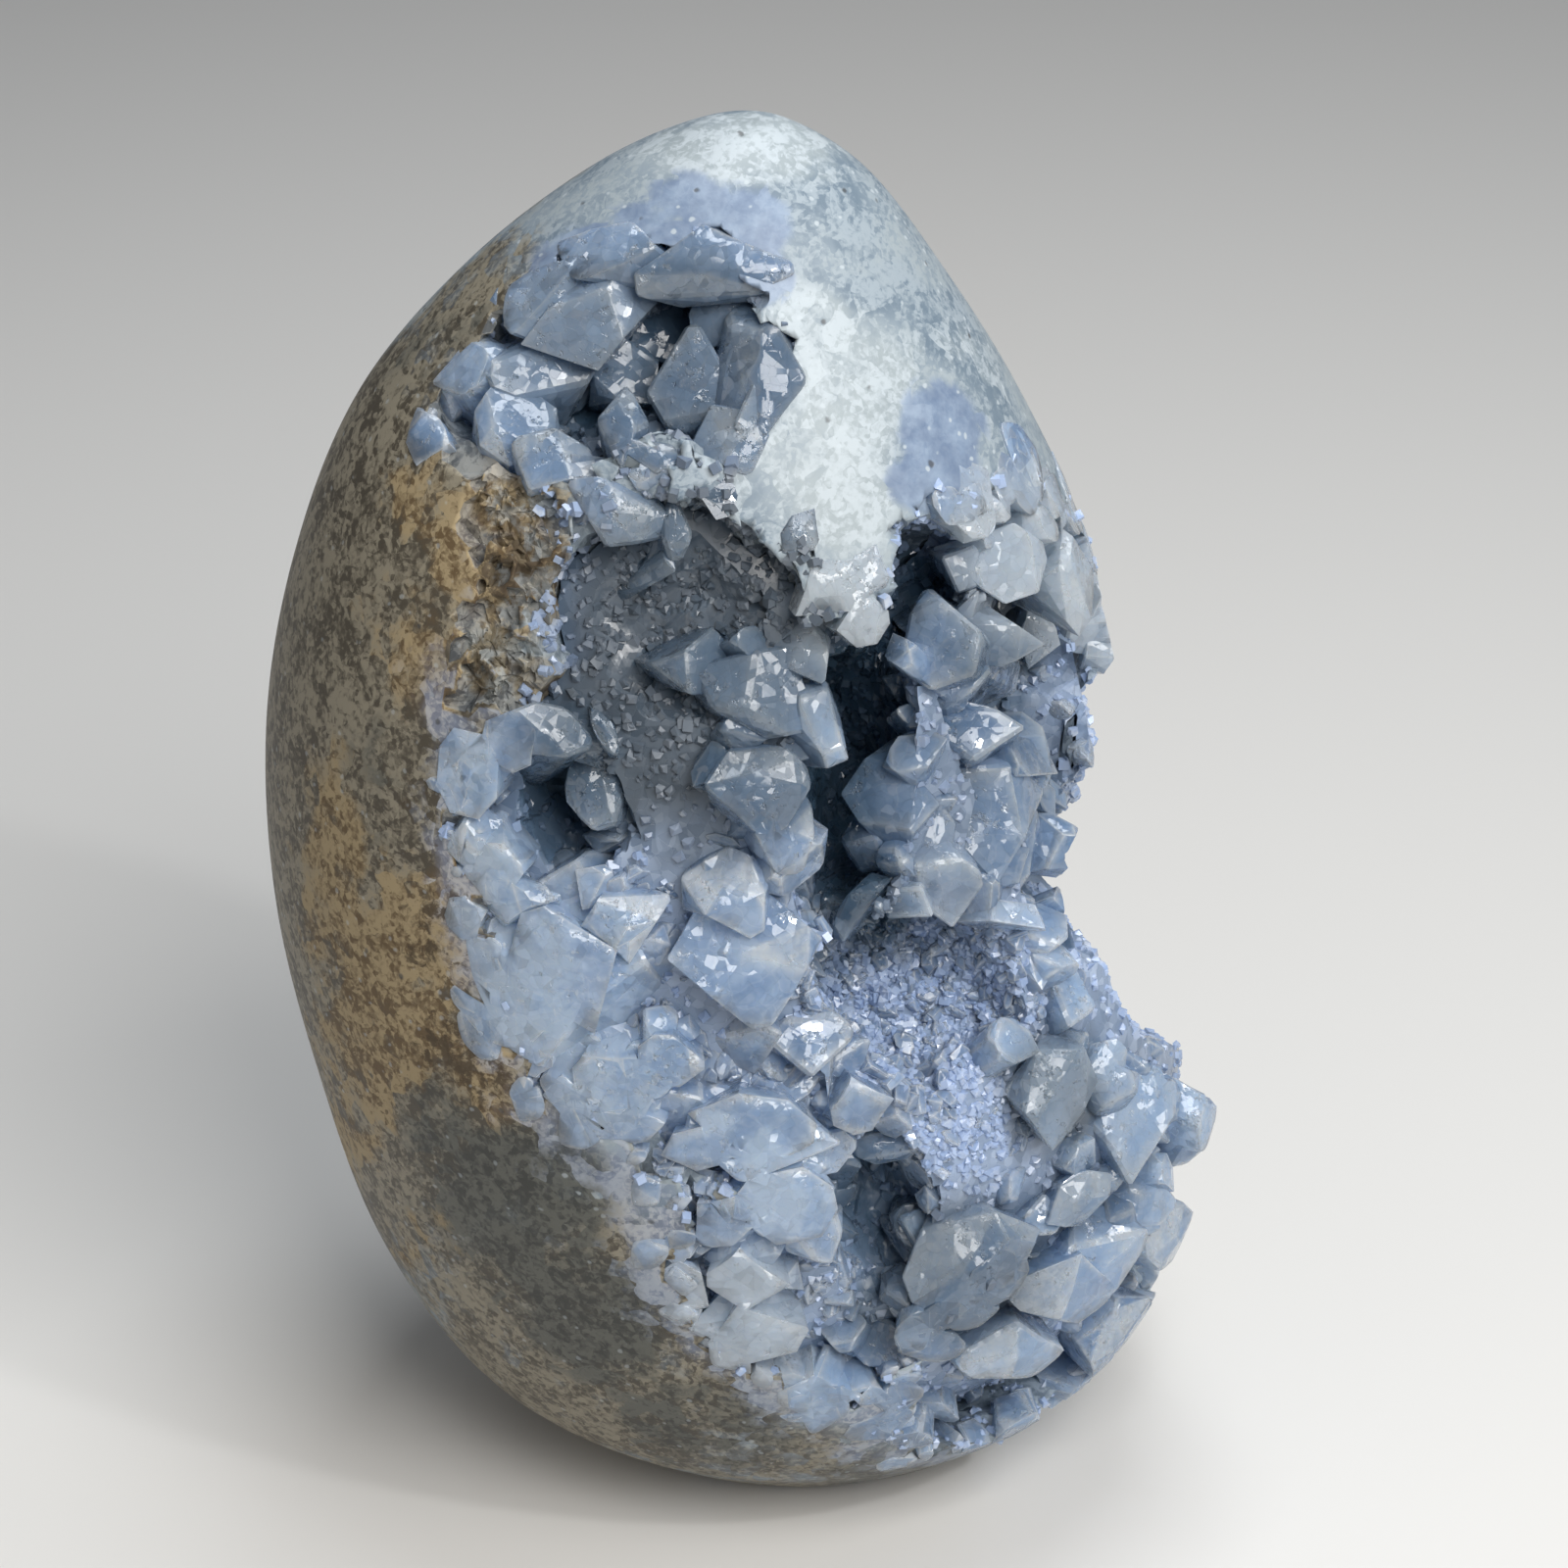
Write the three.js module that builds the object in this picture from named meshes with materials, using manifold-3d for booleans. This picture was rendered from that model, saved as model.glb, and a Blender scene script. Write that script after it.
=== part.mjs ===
// Celestite geode egg: a polished egg of celestite rock that stands on a sawn flat base,
// with open hollows on its front and right that are lined with blunt tabular crystals.
// Units are millimetres, +Z is up, the front of the egg faces -Y.
// The origin is on the base, in the middle of the egg's outer box.

import * as THREE from "three";
import { mergeVertices } from "three/addons/utils/BufferGeometryUtils.js";
import Module from "manifold-3d";

const wasm = await Module();
wasm.setup();

// The polished egg, as level sections from the sawn base up to the tip
const depthRatio = 0.848;
const eggSections = [
  { height: 0, middle: 5.4, halfWidth: 22.5 },
  { height: 4, middle: 4.9, halfWidth: 28.9 },
  { height: 13, middle: 4.0, halfWidth: 38.7 },
  { height: 28, middle: 3.0, halfWidth: 45.6 },
  { height: 46, middle: 1.7, halfWidth: 48.9 },
  { height: 66, middle: -2.7, halfWidth: 47.7 },
  { height: 86, middle: -5.8, halfWidth: 44.3 },
  { height: 104, middle: -6.0, halfWidth: 40.2 },
  { height: 120, middle: -6.2, halfWidth: 33.2 },
  { height: 133, middle: -4.7, halfWidth: 23.9 },
  { height: 143, middle: -2.2, halfWidth: 14.1 },
  { height: 148.3, middle: -0.7, halfWidth: 5.2 },
];
const eggTip = { height: 149, middle: 0 };
const fineSteps = { perSection: 2, around: 36 };
const coarseSteps = { perSection: 1, around: 16 };

// The egg is described as it is seen from the front and above, by an eye at this place.
// Places are given across and up, in millimetres, on an upright sheet that faces the eye.
const sightCentre = new THREE.Vector3(3.2, 0, 76.7);
const sightDistance = 400;
const sightFall = THREE.MathUtils.degToRad(28.6);

// The hairline seam between the crystal crusts and the wall, how small the crust's own
// outer form is beside the polished one, and the height under which nothing is cut
const seam = 0.3;
const crustShare = 0.9;
const crustMiddleHeight = 60;
const lowestCut = 2.5;
const cutDetail = 1;
const voidDetail = 0;

// Lumpy balls that are cut out of the wall: where each opens, how far its middle lies under
// the polished form, its half sizes across, up and inwards, and how much it is turned, in
// degrees. The hollow at the upper left stands by itself; the others run into one another.
const upperCuts = [
  { across: -20.5, up: 43, sunk: 3, half: [15.5, 10, 15], turn: 20 },
  { across: -9.5, up: 45, sunk: 4, half: [8, 11, 14], turn: 10 },
];
const mainCuts = [
  { across: -11.5, up: 13, sunk: 1, half: [13.5, 15.5, 13], turn: 0 },
  { across: -18, up: -5, sunk: 1, half: [15, 17, 14], turn: 12 },
  { across: -9, up: -22, sunk: 0, half: [21, 18, 14], turn: -20 },
  { across: 8, up: -2, sunk: 8, half: [14, 24, 26], turn: 0 },
  { across: 24, up: 11, sunk: 9, half: [16, 19, 26], turn: 0 },
  { across: 15.5, up: 22.5, sunk: 4, half: [5, 6, 13], turn: 0 },
  { across: 45, up: 4, sunk: 20, half: [19.5, 20.5, 140], turn: 0 },
  { across: 32, up: -9, sunk: 6, half: [17, 13, 34], turn: 20 },
  { across: 38, up: -10, sunk: 40, half: [18, 18, 44], turn: 20 },
  { across: 45, up: -15.5, sunk: 15, half: [25, 19.5, 140], turn: -42 },
  { across: 22, up: -32, sunk: 8, half: [24, 21, 24], turn: 0 },
  { across: 44, up: -35, sunk: 8, half: [21, 25, 30], turn: 0 },
  { across: -3, up: -35, sunk: 2, half: [11, 8.5, 10], turn: -20 },
  { across: 4, up: -50, sunk: 3, half: [15, 17, 17], turn: 5 },
  { across: 28, up: -57, sunk: 5, half: [20, 12, 22], turn: 25 },
  { across: 35, up: -68.5, sunk: 20, half: [18, 11, 40], turn: 43 },
];

// The open space inside the crystal crust of each hollow, in the same terms
const upperVoids = [
  { across: -20.5, up: 43, sunk: 2, half: [14, 8, 12], turn: 20 },
  { across: -10, up: 45, sunk: 4, half: [6.5, 9, 12], turn: 10 },
];
const mainVoids = [
  { across: -11.5, up: 14, sunk: 0, half: [12, 12.5, 9.5], turn: 0 },
  { across: -22.5, up: -2.5, sunk: 3, half: [6.5, 10, 12], turn: 10 },
  { across: 14, up: 19, sunk: 6, half: [6.5, 10, 16], turn: -15 },
  { across: 15.5, up: 22, sunk: 5, half: [4.5, 5.5, 15], turn: 0 },
  { across: 7, up: 0, sunk: 8, half: [7.5, 17, 22], turn: -5 },
  { across: 27, up: 9, sunk: 8, half: [15, 16, 20], turn: 0 },
  { across: 46, up: 4, sunk: 20, half: [19, 18, 140], turn: 0 },
  { across: 35, up: -8, sunk: 8, half: [14, 11, 36], turn: 20 },
  { across: 38, up: -7, sunk: 44, half: [16, 12, 46], turn: 20 },
  { across: 45.5, up: -13.5, sunk: 15, half: [22.5, 17.5, 140], turn: -42 },
  { across: 15, up: -22, sunk: 5, half: [15, 11, 12], turn: -20 },
  { across: 10, up: -46, sunk: 4, half: [7, 13, 14], turn: 5 },
];

// Crystals that stand out by themselves. Each has its face at a place across and up,
// a width and a height, how far it lies under the polished form, how far its face leans
// to the right and nods upwards, and how much its outline is turned, in degrees.
const upperCrystals = [
  { across: -19.9, up: 48.4, size: [10, 7], sunk: 3, lean: -10, nod: -10, turn: 15 },
  { across: -12.4, up: 46.9, size: [7.5, 7], sunk: 10, lean: 15, nod: 10, turn: 30 },
  { across: -6.6, up: 49.2, size: [5.5, 6], sunk: 5, lean: -15, nod: 5, turn: 10 },
  { across: -10.2, up: 42.3, size: [6.5, 8], sunk: 5, lean: -10, nod: 5, turn: 0 },
  { across: -27.5, up: 37.5, size: [9, 6], sunk: 2, lean: 15, nod: 25, turn: -40 },
  { across: -23.5, up: 34.5, size: [8, 6], sunk: 0.5, lean: 15, nod: 25, turn: -35 },
  { across: -16.8, up: 38.6, size: [4, 7], sunk: -0.5, lean: -5, nod: 45, turn: 5 },
  { across: -13.3, up: 34.8, size: [7, 4], sunk: -0.5, lean: 15, nod: 25, turn: -10 },
];
const mainCrystals = [
  { across: -16.6, up: 28.6, size: [10, 6.5], sunk: 0, lean: 5, nod: -10, turn: -25 },
  { across: -11.2, up: 26.5, size: [2.6, 5], sunk: 2, lean: 10, nod: 10, turn: 0 },
  { across: -24.3, up: 5.8, size: [9, 4], sunk: 1, lean: 15, nod: 15, turn: -12 },
  { across: -28.6, up: 3.5, size: [5, 5], sunk: 2, lean: 25, nod: 10, turn: 0 },
  { across: -20, up: -0.5, size: [5.5, 6.5], sunk: 5, lean: -20, nod: 5, turn: 20 },
  { across: -31, up: -6, size: [6, 7], sunk: 1, lean: 20, nod: 5, turn: 10 },
  { across: -27, up: -11, size: [6, 4.5], sunk: 0.5, lean: 20, nod: 20, turn: -20 },
  { across: -23.9, up: -18.9, size: [14, 16], sunk: 1, lean: -8, nod: -5, turn: 25 },
  { across: -16.3, up: -13.3, size: [7, 7], sunk: 1, lean: 10, nod: 15, turn: 10 },
  { across: -18.5, up: -31.5, size: [11, 12], sunk: 1, lean: -5, nod: -10, turn: 0 },
  { across: -2, up: 9.5, size: [11, 9], sunk: 2.5, lean: 25, nod: 5, turn: -30 },
  { across: 4.5, up: 6.5, size: [6, 7], sunk: 3, lean: 35, nod: 5, turn: 20 },
  { across: -2.5, up: 1, size: [9, 8], sunk: 1, lean: 5, nod: 20, turn: 10 },
  { across: 0.5, up: -5, size: [5.5, 7], sunk: 0.5, lean: 25, nod: 0, turn: 5 },
  { across: -6, up: -10.5, size: [8, 8], sunk: 1.5, lean: -10, nod: 15, turn: 30 },
  { across: -3.6, up: -17.8, size: [12.5, 12], sunk: 1.2, lean: 5, nod: -5, turn: 10 },
  { across: 3, up: -26, size: [8, 7], sunk: 3, lean: 10, nod: 10, turn: 0 },
  { across: 10.5, up: -1.5, size: [8, 11], sunk: 7, lean: -20, nod: 5, turn: 0 },
  { across: 13.5, up: 3.5, size: [5.5, 5.5], sunk: 5.5, lean: -10, nod: 20, turn: 15 },
  { across: 21.4, up: -2, size: [10, 13.5], sunk: 4.5, lean: 5, nod: -5, turn: 5 },
  { across: 25.5, up: 3, size: [7, 8], sunk: 8, lean: 30, nod: 10, turn: 0 },
  { across: 24.8, up: -5.5, size: [6, 9], sunk: 8, lean: 30, nod: -5, turn: 0 },
  { across: 16, up: -10, size: [7, 9], sunk: 3, lean: 0, nod: -25, turn: 10 },
  { across: 19.4, up: 6.2, size: [9, 6], sunk: 5, lean: 5, nod: 15, turn: 0 },
  { across: 13.5, up: -5, size: [6, 8], sunk: 6, lean: -10, nod: 0, turn: -10 },
  { across: 22, up: -9.5, size: [7, 6], sunk: 5, lean: 10, nod: -20, turn: 20 },
  { across: 21.5, up: 28.3, size: [5, 4.5], sunk: 1.5, lean: 15, nod: -15, turn: 0 },
  { across: 26.5, up: 26.5, size: [7, 5.5], sunk: 1, lean: 25, nod: -10, turn: 0 },
  { across: 23.5, up: 22.5, size: [7, 6.5], sunk: 3, lean: 15, nod: -10, turn: 20 },
  { across: 30.5, up: 20.5, size: [8, 8.5], sunk: 1, lean: 35, nod: -15, turn: 10 },
  { across: 20.5, up: 15, size: [12, 6], sunk: 5, lean: 10, nod: -10, turn: -5 },
  { across: 26.5, up: -14.5, size: [7, 5], sunk: 6, lean: 30, nod: 30, turn: -15 },
  { across: 30.4, up: -21, size: [6.5, 8.5], sunk: 4, lean: 35, nod: 30, turn: -30 },
  { across: 36, up: -27, size: [8, 7], sunk: 6, lean: 45, nod: 30, turn: -35 },
  { across: 28.2, up: -31.6, size: [9.5, 11.5], sunk: 0.5, lean: 10, nod: 5, turn: 0 },
  { across: 37.2, up: -32.6, size: [11.5, 16], sunk: 4, lean: 30, nod: 5, turn: -5 },
  { across: 43, up: -36.5, size: [6, 9], sunk: 5, lean: 60, nod: 5, turn: 0 },
  { across: 31, up: -43, size: [7.5, 6.5], sunk: 1.5, lean: 20, nod: 0, turn: 30 },
  { across: 38, up: -44, size: [8, 7], sunk: 4, lean: 45, nod: -5, turn: 0 },
  { across: 33.6, up: -50, size: [10, 8.5], sunk: 1, lean: 30, nod: -15, turn: 10 },
  { across: 29.5, up: -53.5, size: [11, 8.5], sunk: 1, lean: 20, nod: -25, turn: -10 },
  { across: 18.9, up: -50, size: [13, 14], sunk: 1.5, lean: -5, nod: -5, turn: 20 },
  { across: 24, up: -60, size: [12, 9], sunk: 1, lean: 15, nod: -30, turn: 0 },
  { across: 10.5, up: -39, size: [7, 6], sunk: 6, lean: 0, nod: 15, turn: 10 },
  { across: 9.5, up: -58, size: [6.5, 6], sunk: 5, lean: -15, nod: 0, turn: 0 },
  { across: -13.5, up: -28.5, size: [6, 6], sunk: 1, lean: 0, nod: 15, turn: 0 },
  { across: -2.5, up: -35.7, size: [13.5, 9.5], sunk: 1.6, lean: 5, nod: 5, turn: -10 },
  { across: 7.5, up: -33, size: [5, 5], sunk: 1.5, lean: 10, nod: 15, turn: 20 },
  { across: 0, up: -43, size: [9, 8.5], sunk: 1.5, lean: 5, nod: -5, turn: 0 },
  { across: -3.5, up: -48.5, size: [8, 7], sunk: 1.5, lean: 0, nod: -5, turn: 15 },
  { across: -3.5, up: -56, size: [10, 10], sunk: 1.2, lean: 0, nod: -10, turn: 5 },
  { across: 2.5, up: -64.5, size: [9, 7], sunk: 1.2, lean: 0, nod: -20, turn: 0 },
  { across: -33, up: 1, size: [7.5, 8], sunk: 1.5, lean: -10, nod: 0, turn: 20 },
  { across: -34, up: -12.5, size: [8, 9], sunk: 1, lean: -10, nod: 0, turn: 10 },
  { across: -31, up: -22, size: [7.5, 8], sunk: 1, lean: -10, nod: 0, turn: 0 },
  { across: 44, up: -31, size: [10, 12], sunk: 2, lean: 60, nod: 10, turn: 0 },
  { across: 41, up: -47, size: [9, 9], sunk: 2, lean: 50, nod: 0, turn: 10 },
  { across: 35, up: -58, size: [9, 8], sunk: 1, lean: 40, nod: -20, turn: 0 },
];

// How the outlines and faces of those crystals vary by chance, from the least to the most.
// Corners lie at a share of the width and height and sway by a share of a corner's step.
// The face is a share of the outline, and the shoulder a share of the smaller size.
const fiveCornerShare = 0.5;
const cornerReach = [0.56, 0.66];
const cornerSway = [-0.28, 0.28];
const faceShareAcross = [0.55, 0.85];
const faceShareUp = [0.4, 0.8];
const faceSlope = [-0.25, 0.25];
const shoulderShare = [0.2, 0.32];
const rootShare = 0.8;

// A crystal's root runs this far into the wall of its hollow, and no crystal is longer
const rootReach = 2.5;
const longestCrystal = 26;

// Small crystals between those, placed by chance on the walls of the hollows where these
// lie well inside the egg
const smallCrystals = { upper: 6, main: 9, seed: 11 };
const smallWidth = [3.5, 6.5];
const smallTallShare = [0.6, 1];
const smallHeightShare = [0.6, 1.1];
const smallFaceShare = 0.55;
const smallCornerSway = [-0.2, 0.2];
const smallLean = [-0.4, 0.4];
const smallRimShare = 0.82;
const stubCorners = 5;

// How much the hollows' balls swell and shrink, and how often across and up
const lumpHeight = 0.09;
const lumpsAcross = 4;
const lumpsUp = 5;

function seededRandom(seed) {
  let state = seed;
  return () => {
    state = (state * 1664525 + 1013904223) % 4294967296;
    return state / 4294967296;
  };
}

function between([least, most], random) {
  return THREE.MathUtils.lerp(least, most, random());
}

// Closed solids and the geometry that is made from them
function toSolid(geometry) {
  geometry.deleteAttribute("normal");
  geometry.deleteAttribute("uv");
  const merged = mergeVertices(geometry, 1e-4);
  const mesh = new wasm.Mesh({
    numProp: 3,
    vertProperties: new Float32Array(merged.attributes.position.array),
    triVerts: new Uint32Array(merged.index.array),
  });
  return new wasm.Manifold(mesh);
}

function toGeometry(solid) {
  const mesh = solid.getMesh();
  const geometry = new THREE.BufferGeometry();
  geometry.setAttribute("position", new THREE.BufferAttribute(mesh.vertProperties, 3));
  geometry.setIndex(new THREE.BufferAttribute(mesh.triVerts, 1));
  return geometry;
}

function joinAll(solids) {
  return solids.reduce((whole, solid) => whole.add(solid));
}

function largestPiece(solid) {
  const pieces = solid.decompose();
  return pieces.reduce((best, piece) => (piece.volume() > best.volume() ? piece : best));
}

// A closed stack of rings with the same number of points, each listed counterclockwise
// as seen from above, with a fan over the first ring and under the last.
function ringStack(rings, firstPole, lastPole) {
  const around = rings[0].length;
  const points = [...rings.flat(), firstPole, lastPole];
  const firstIndex = points.length - 2;
  const lastIndex = points.length - 1;
  const lastRing = (rings.length - 1) * around;
  const triangles = [];
  for (let side = 0; side < around; side += 1) {
    const next = (side + 1) % around;
    triangles.push(firstIndex, next, side);
    triangles.push(lastIndex, lastRing + side, lastRing + next);
    for (let ring = 0; ring < rings.length - 1; ring += 1) {
      const low = ring * around;
      const high = low + around;
      triangles.push(low + side, low + next, high + next);
      triangles.push(low + side, high + next, high + side);
    }
  }
  const geometry = new THREE.BufferGeometry().setFromPoints(points);
  geometry.setIndex(triangles);
  return geometry;
}

// The egg's outline curve holds half width, middle and height. It runs on past the tip
// by one mirrored section, so that the tip is round.
function eggOutline() {
  const points = eggSections.map((s) => new THREE.Vector3(s.halfWidth, s.middle, s.height));
  const last = eggSections.at(-1);
  points.push(new THREE.Vector3(0, eggTip.middle, eggTip.height));
  points.push(new THREE.Vector3(-last.halfWidth, last.middle, last.height));
  return new THREE.CatmullRomCurve3(points, false, "catmullrom", 0.5);
}

function makeEgg(growth, steps) {
  const outline = eggOutline();
  const spans = eggSections.length + 1;
  const ringCount = eggSections.length * steps.perSection;
  const rings = [];
  for (let ring = 0; ring < ringCount; ring += 1) {
    const section = outline.getPoint(ring / steps.perSection / spans);
    const points = [];
    for (let side = 0; side < steps.around; side += 1) {
      const angle = (side / steps.around) * Math.PI * 2;
      points.push(new THREE.Vector3(
        section.y + (section.x + growth) * Math.cos(angle),
        (section.x * depthRatio + growth) * Math.sin(angle),
        ring === 0 ? section.z - growth : section.z,
      ));
    }
    rings.push(points);
  }
  const foot = new THREE.Vector3(eggSections[0].middle, 0, -growth);
  const tip = new THREE.Vector3(eggTip.middle, 0, eggTip.height + growth);
  return ringStack(rings, foot, tip);
}

// The directions of sight: across to the right, up along the sheet, and inwards
const sightAcross = new THREE.Vector3(1, 0, 0);
const sightUp = new THREE.Vector3(0, Math.sin(sightFall), Math.cos(sightFall));
const sightInwards = new THREE.Vector3(0, Math.cos(sightFall), -Math.sin(sightFall));
const eye = sightCentre.clone().addScaledVector(sightInwards, -sightDistance);

function firstHit(geometry, start, direction, side) {
  const material = new THREE.MeshBasicMaterial({ side });
  const caster = new THREE.Raycaster(start, direction);
  return caster.intersectObject(new THREE.Mesh(geometry, material))[0];
}

// The place at a depth under the polished form, where the line of sight meets it.
// Beside the egg the line of sight is taken where it passes the egg's middle.
function placeInEgg(spot) {
  const sheetPoint = sightCentre.clone()
    .addScaledVector(sightAcross, spot.across)
    .addScaledVector(sightUp, spot.up);
  const sight = sheetPoint.clone().sub(eye).normalize();
  const hit = firstHit(eggGeometry, eye, sight, THREE.FrontSide);
  const start = hit ? hit.point : sheetPoint;
  return start.clone().addScaledVector(sight, spot.sunk);
}

function basisOf(right, up, outwards) {
  return new THREE.Matrix4().makeBasis(right, up, outwards);
}

// A hollow is a lumpy, coarse-faced ball, cut out of the egg
function makeHollow(hollow, shrink, detail) {
  const ball = new THREE.IcosahedronGeometry(1, detail);
  const position = ball.attributes.position;
  const point = new THREE.Vector3();
  for (let index = 0; index < position.count; index += 1) {
    point.fromBufferAttribute(position, index);
    const wave = Math.sin(lumpsAcross * point.x + hollow.across);
    const lump = 1 + lumpHeight * wave * Math.cos(lumpsUp * point.y + hollow.up);
    position.setXYZ(
      index,
      point.x * lump * (hollow.half[0] - shrink),
      point.y * lump * (hollow.half[1] - shrink),
      point.z * lump * (hollow.half[2] - shrink),
    );
  }
  ball.rotateZ(THREE.MathUtils.degToRad(hollow.turn));
  ball.applyMatrix4(basisOf(sightAcross, sightUp, sightInwards.clone().negate()));
  const place = placeInEgg(hollow);
  ball.translate(place.x, place.y, place.z);
  return toSolid(ball);
}

function makeHollows(hollows, shrink, detail) {
  return joinAll(hollows.map((hollow) => makeHollow(hollow, shrink, detail)));
}

// A blunt tabular crystal that points along +Z, with its face at the origin.
// Its outline has five or six uneven corners, and its face is smaller than its shoulder.
function makeCrystal(wide, tall, long, random) {
  const corners = random() < fiveCornerShare ? 5 : 6;
  const shareAcross = between(faceShareAcross, random);
  const shareUp = between(faceShareUp, random);
  const slopeAcross = between(faceSlope, random);
  const slopeUp = between(faceSlope, random);
  const shoulder = Math.min(wide, tall) * between(shoulderShare, random);
  const face = [];
  const edge = [];
  const root = [];
  for (let corner = 0; corner < corners; corner += 1) {
    const angle = ((corner + 0.5 + between(cornerSway, random)) / corners) * Math.PI * 2;
    const reach = between(cornerReach, random);
    const x = Math.cos(angle) * wide * reach;
    const y = Math.sin(angle) * tall * reach;
    const faceX = x * shareAcross;
    const faceY = y * shareUp;
    face.push(new THREE.Vector3(faceX, faceY, slopeAcross * faceX + slopeUp * faceY));
    edge.push(new THREE.Vector3(x, y, -shoulder));
    root.push(new THREE.Vector3(x * rootShare, y * rootShare, -long));
  }
  const rootPole = new THREE.Vector3(0, 0, -long);
  return ringStack([root, edge, face], rootPole, new THREE.Vector3(0, 0, 0));
}

// A small crystal is a blunt five-sided stub
function makeStub(wide, tall, long, random) {
  const face = [];
  const root = [];
  for (let corner = 0; corner < stubCorners; corner += 1) {
    const angle = ((corner + between(smallCornerSway, random)) / stubCorners) * Math.PI * 2;
    const x = Math.cos(angle) * wide / 2;
    const y = Math.sin(angle) * tall / 2;
    face.push(new THREE.Vector3(x * smallFaceShare, y * smallFaceShare, 0));
    root.push(new THREE.Vector3(x, y, -long));
  }
  return ringStack([root, face], new THREE.Vector3(0, 0, -long), new THREE.Vector3(0, 0, 0));
}

// A named crystal reaches back from its face until it meets the wall of its hollow
function placeCrystal(crystal, innerGeometry, random) {
  const leanTurn = new THREE.Quaternion().setFromAxisAngle(
    sightUp, THREE.MathUtils.degToRad(crystal.lean));
  const nodTurn = new THREE.Quaternion().setFromAxisAngle(
    sightAcross, THREE.MathUtils.degToRad(-crystal.nod));
  const outwards = sightInwards.clone().negate().applyQuaternion(nodTurn).applyQuaternion(leanTurn);
  const right = sightAcross.clone().applyQuaternion(leanTurn);
  const up = outwards.clone().cross(right).normalize();
  const place = placeInEgg(crystal);
  const hit = firstHit(innerGeometry, place, outwards.clone().negate(), THREE.BackSide);
  const [wide, tall] = crystal.size;
  const reach = hit ? hit.distance : 0;
  const long = Math.min(Math.max(reach + rootReach, wide / 2), longestCrystal);
  const geometry = makeCrystal(wide, tall, long, random);
  geometry.rotateZ(THREE.MathUtils.degToRad(crystal.turn));
  geometry.applyMatrix4(basisOf(right, up, outwards));
  geometry.translate(place.x, place.y, place.z);
  return toSolid(geometry);
}

// How far out a place lies in its level section: 0 in the middle, 1 on the polished form
function shareOfSection(place) {
  const upperIndex = eggSections.findIndex((section) => section.height > place.z);
  const above = eggSections[Math.max(upperIndex, 1)];
  const below = eggSections[Math.max(upperIndex, 1) - 1];
  const mix = (place.z - below.height) / (above.height - below.height);
  const middle = THREE.MathUtils.lerp(below.middle, above.middle, mix);
  const halfWidth = THREE.MathUtils.lerp(below.halfWidth, above.halfWidth, mix);
  return Math.hypot((place.x - middle) / halfWidth, place.y / (halfWidth * depthRatio));
}

// The faces of a hollow's inner wall that lie well inside the egg, with their running area
function facesInside(innerGeometry) {
  const position = innerGeometry.attributes.position;
  const index = innerGeometry.index;
  const faces = [];
  let area = 0;
  for (let start = 0; start < index.count; start += 3) {
    const corners = [0, 1, 2].map(
      (corner) => new THREE.Vector3().fromBufferAttribute(position, index.getX(start + corner)));
    const face = new THREE.Triangle(...corners);
    if (shareOfSection(face.getMidpoint(new THREE.Vector3())) < smallRimShare) {
      area += face.getArea();
      faces.push({ face, area });
    }
  }
  return faces;
}

function randomPlaceOn(face, random) {
  const share = new THREE.Vector2(random(), random());
  if (share.x + share.y > 1) {
    share.set(1 - share.x, 1 - share.y);
  }
  return face.a.clone()
    .addScaledVector(face.b.clone().sub(face.a), share.x)
    .addScaledVector(face.c.clone().sub(face.a), share.y);
}

// Small crystals stand on the wall of the hollow and lean this way and that
function scatterCrystals(count, innerGeometry, random) {
  const faces = facesInside(innerGeometry);
  const solids = [];
  for (let number = 0; number < count; number += 1) {
    const pick = random() * faces.at(-1).area;
    const { face } = faces.find((entry) => entry.area >= pick);
    const outwards = face.getNormal(new THREE.Vector3()).negate();
    outwards.x += between(smallLean, random);
    outwards.y += between(smallLean, random);
    outwards.z += between(smallLean, random);
    outwards.normalize();
    const wide = between(smallWidth, random);
    const tall = wide * between(smallTallShare, random);
    const height = wide * between(smallHeightShare, random);
    const right = new THREE.Vector3(0, 0, 1).cross(outwards).normalize();
    const up = outwards.clone().cross(right);
    const geometry = makeStub(wide, tall, height + rootReach, random);
    const tip = randomPlaceOn(face, random).addScaledVector(outwards, height);
    geometry.rotateZ(random() * Math.PI);
    geometry.applyMatrix4(basisOf(right, up, outwards));
    geometry.translate(tip.x, tip.y, tip.z);
    solids.push(toSolid(geometry));
  }
  return solids;
}

// Everything under the lowest cut stays whole, so that the sawn base is flat all over
function makeFootBlock() {
  const width = 140;
  const block = new THREE.BoxGeometry(width, width, width);
  block.translate(0, 0, lowestCut - width / 2);
  return toSolid(block);
}

const eggGeometry = makeEgg(0, fineSteps);
const egg = toSolid(eggGeometry);
const grownEgg = toSolid(makeEgg(seam, fineSteps));
const footBlock = makeFootBlock();

// The crust fills a hollow no further out than this smaller egg
function makeCrustForm() {
  const form = makeEgg(0, coarseSteps);
  form.translate(0, 0, -crustMiddleHeight);
  form.scale(crustShare, crustShare, crustShare);
  form.translate(0, 0, crustMiddleHeight);
  return toSolid(form);
}

const crustForm = makeCrustForm();

function makeCutSpace(cuts, shrink) {
  return makeHollows(cuts, shrink, cutDetail).subtract(footBlock);
}

const wallSolid = egg.subtract(makeCutSpace(upperCuts, 0)).subtract(makeCutSpace(mainCuts, 0));
const wallGeometry = toGeometry(largestPiece(wallSolid));

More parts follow.
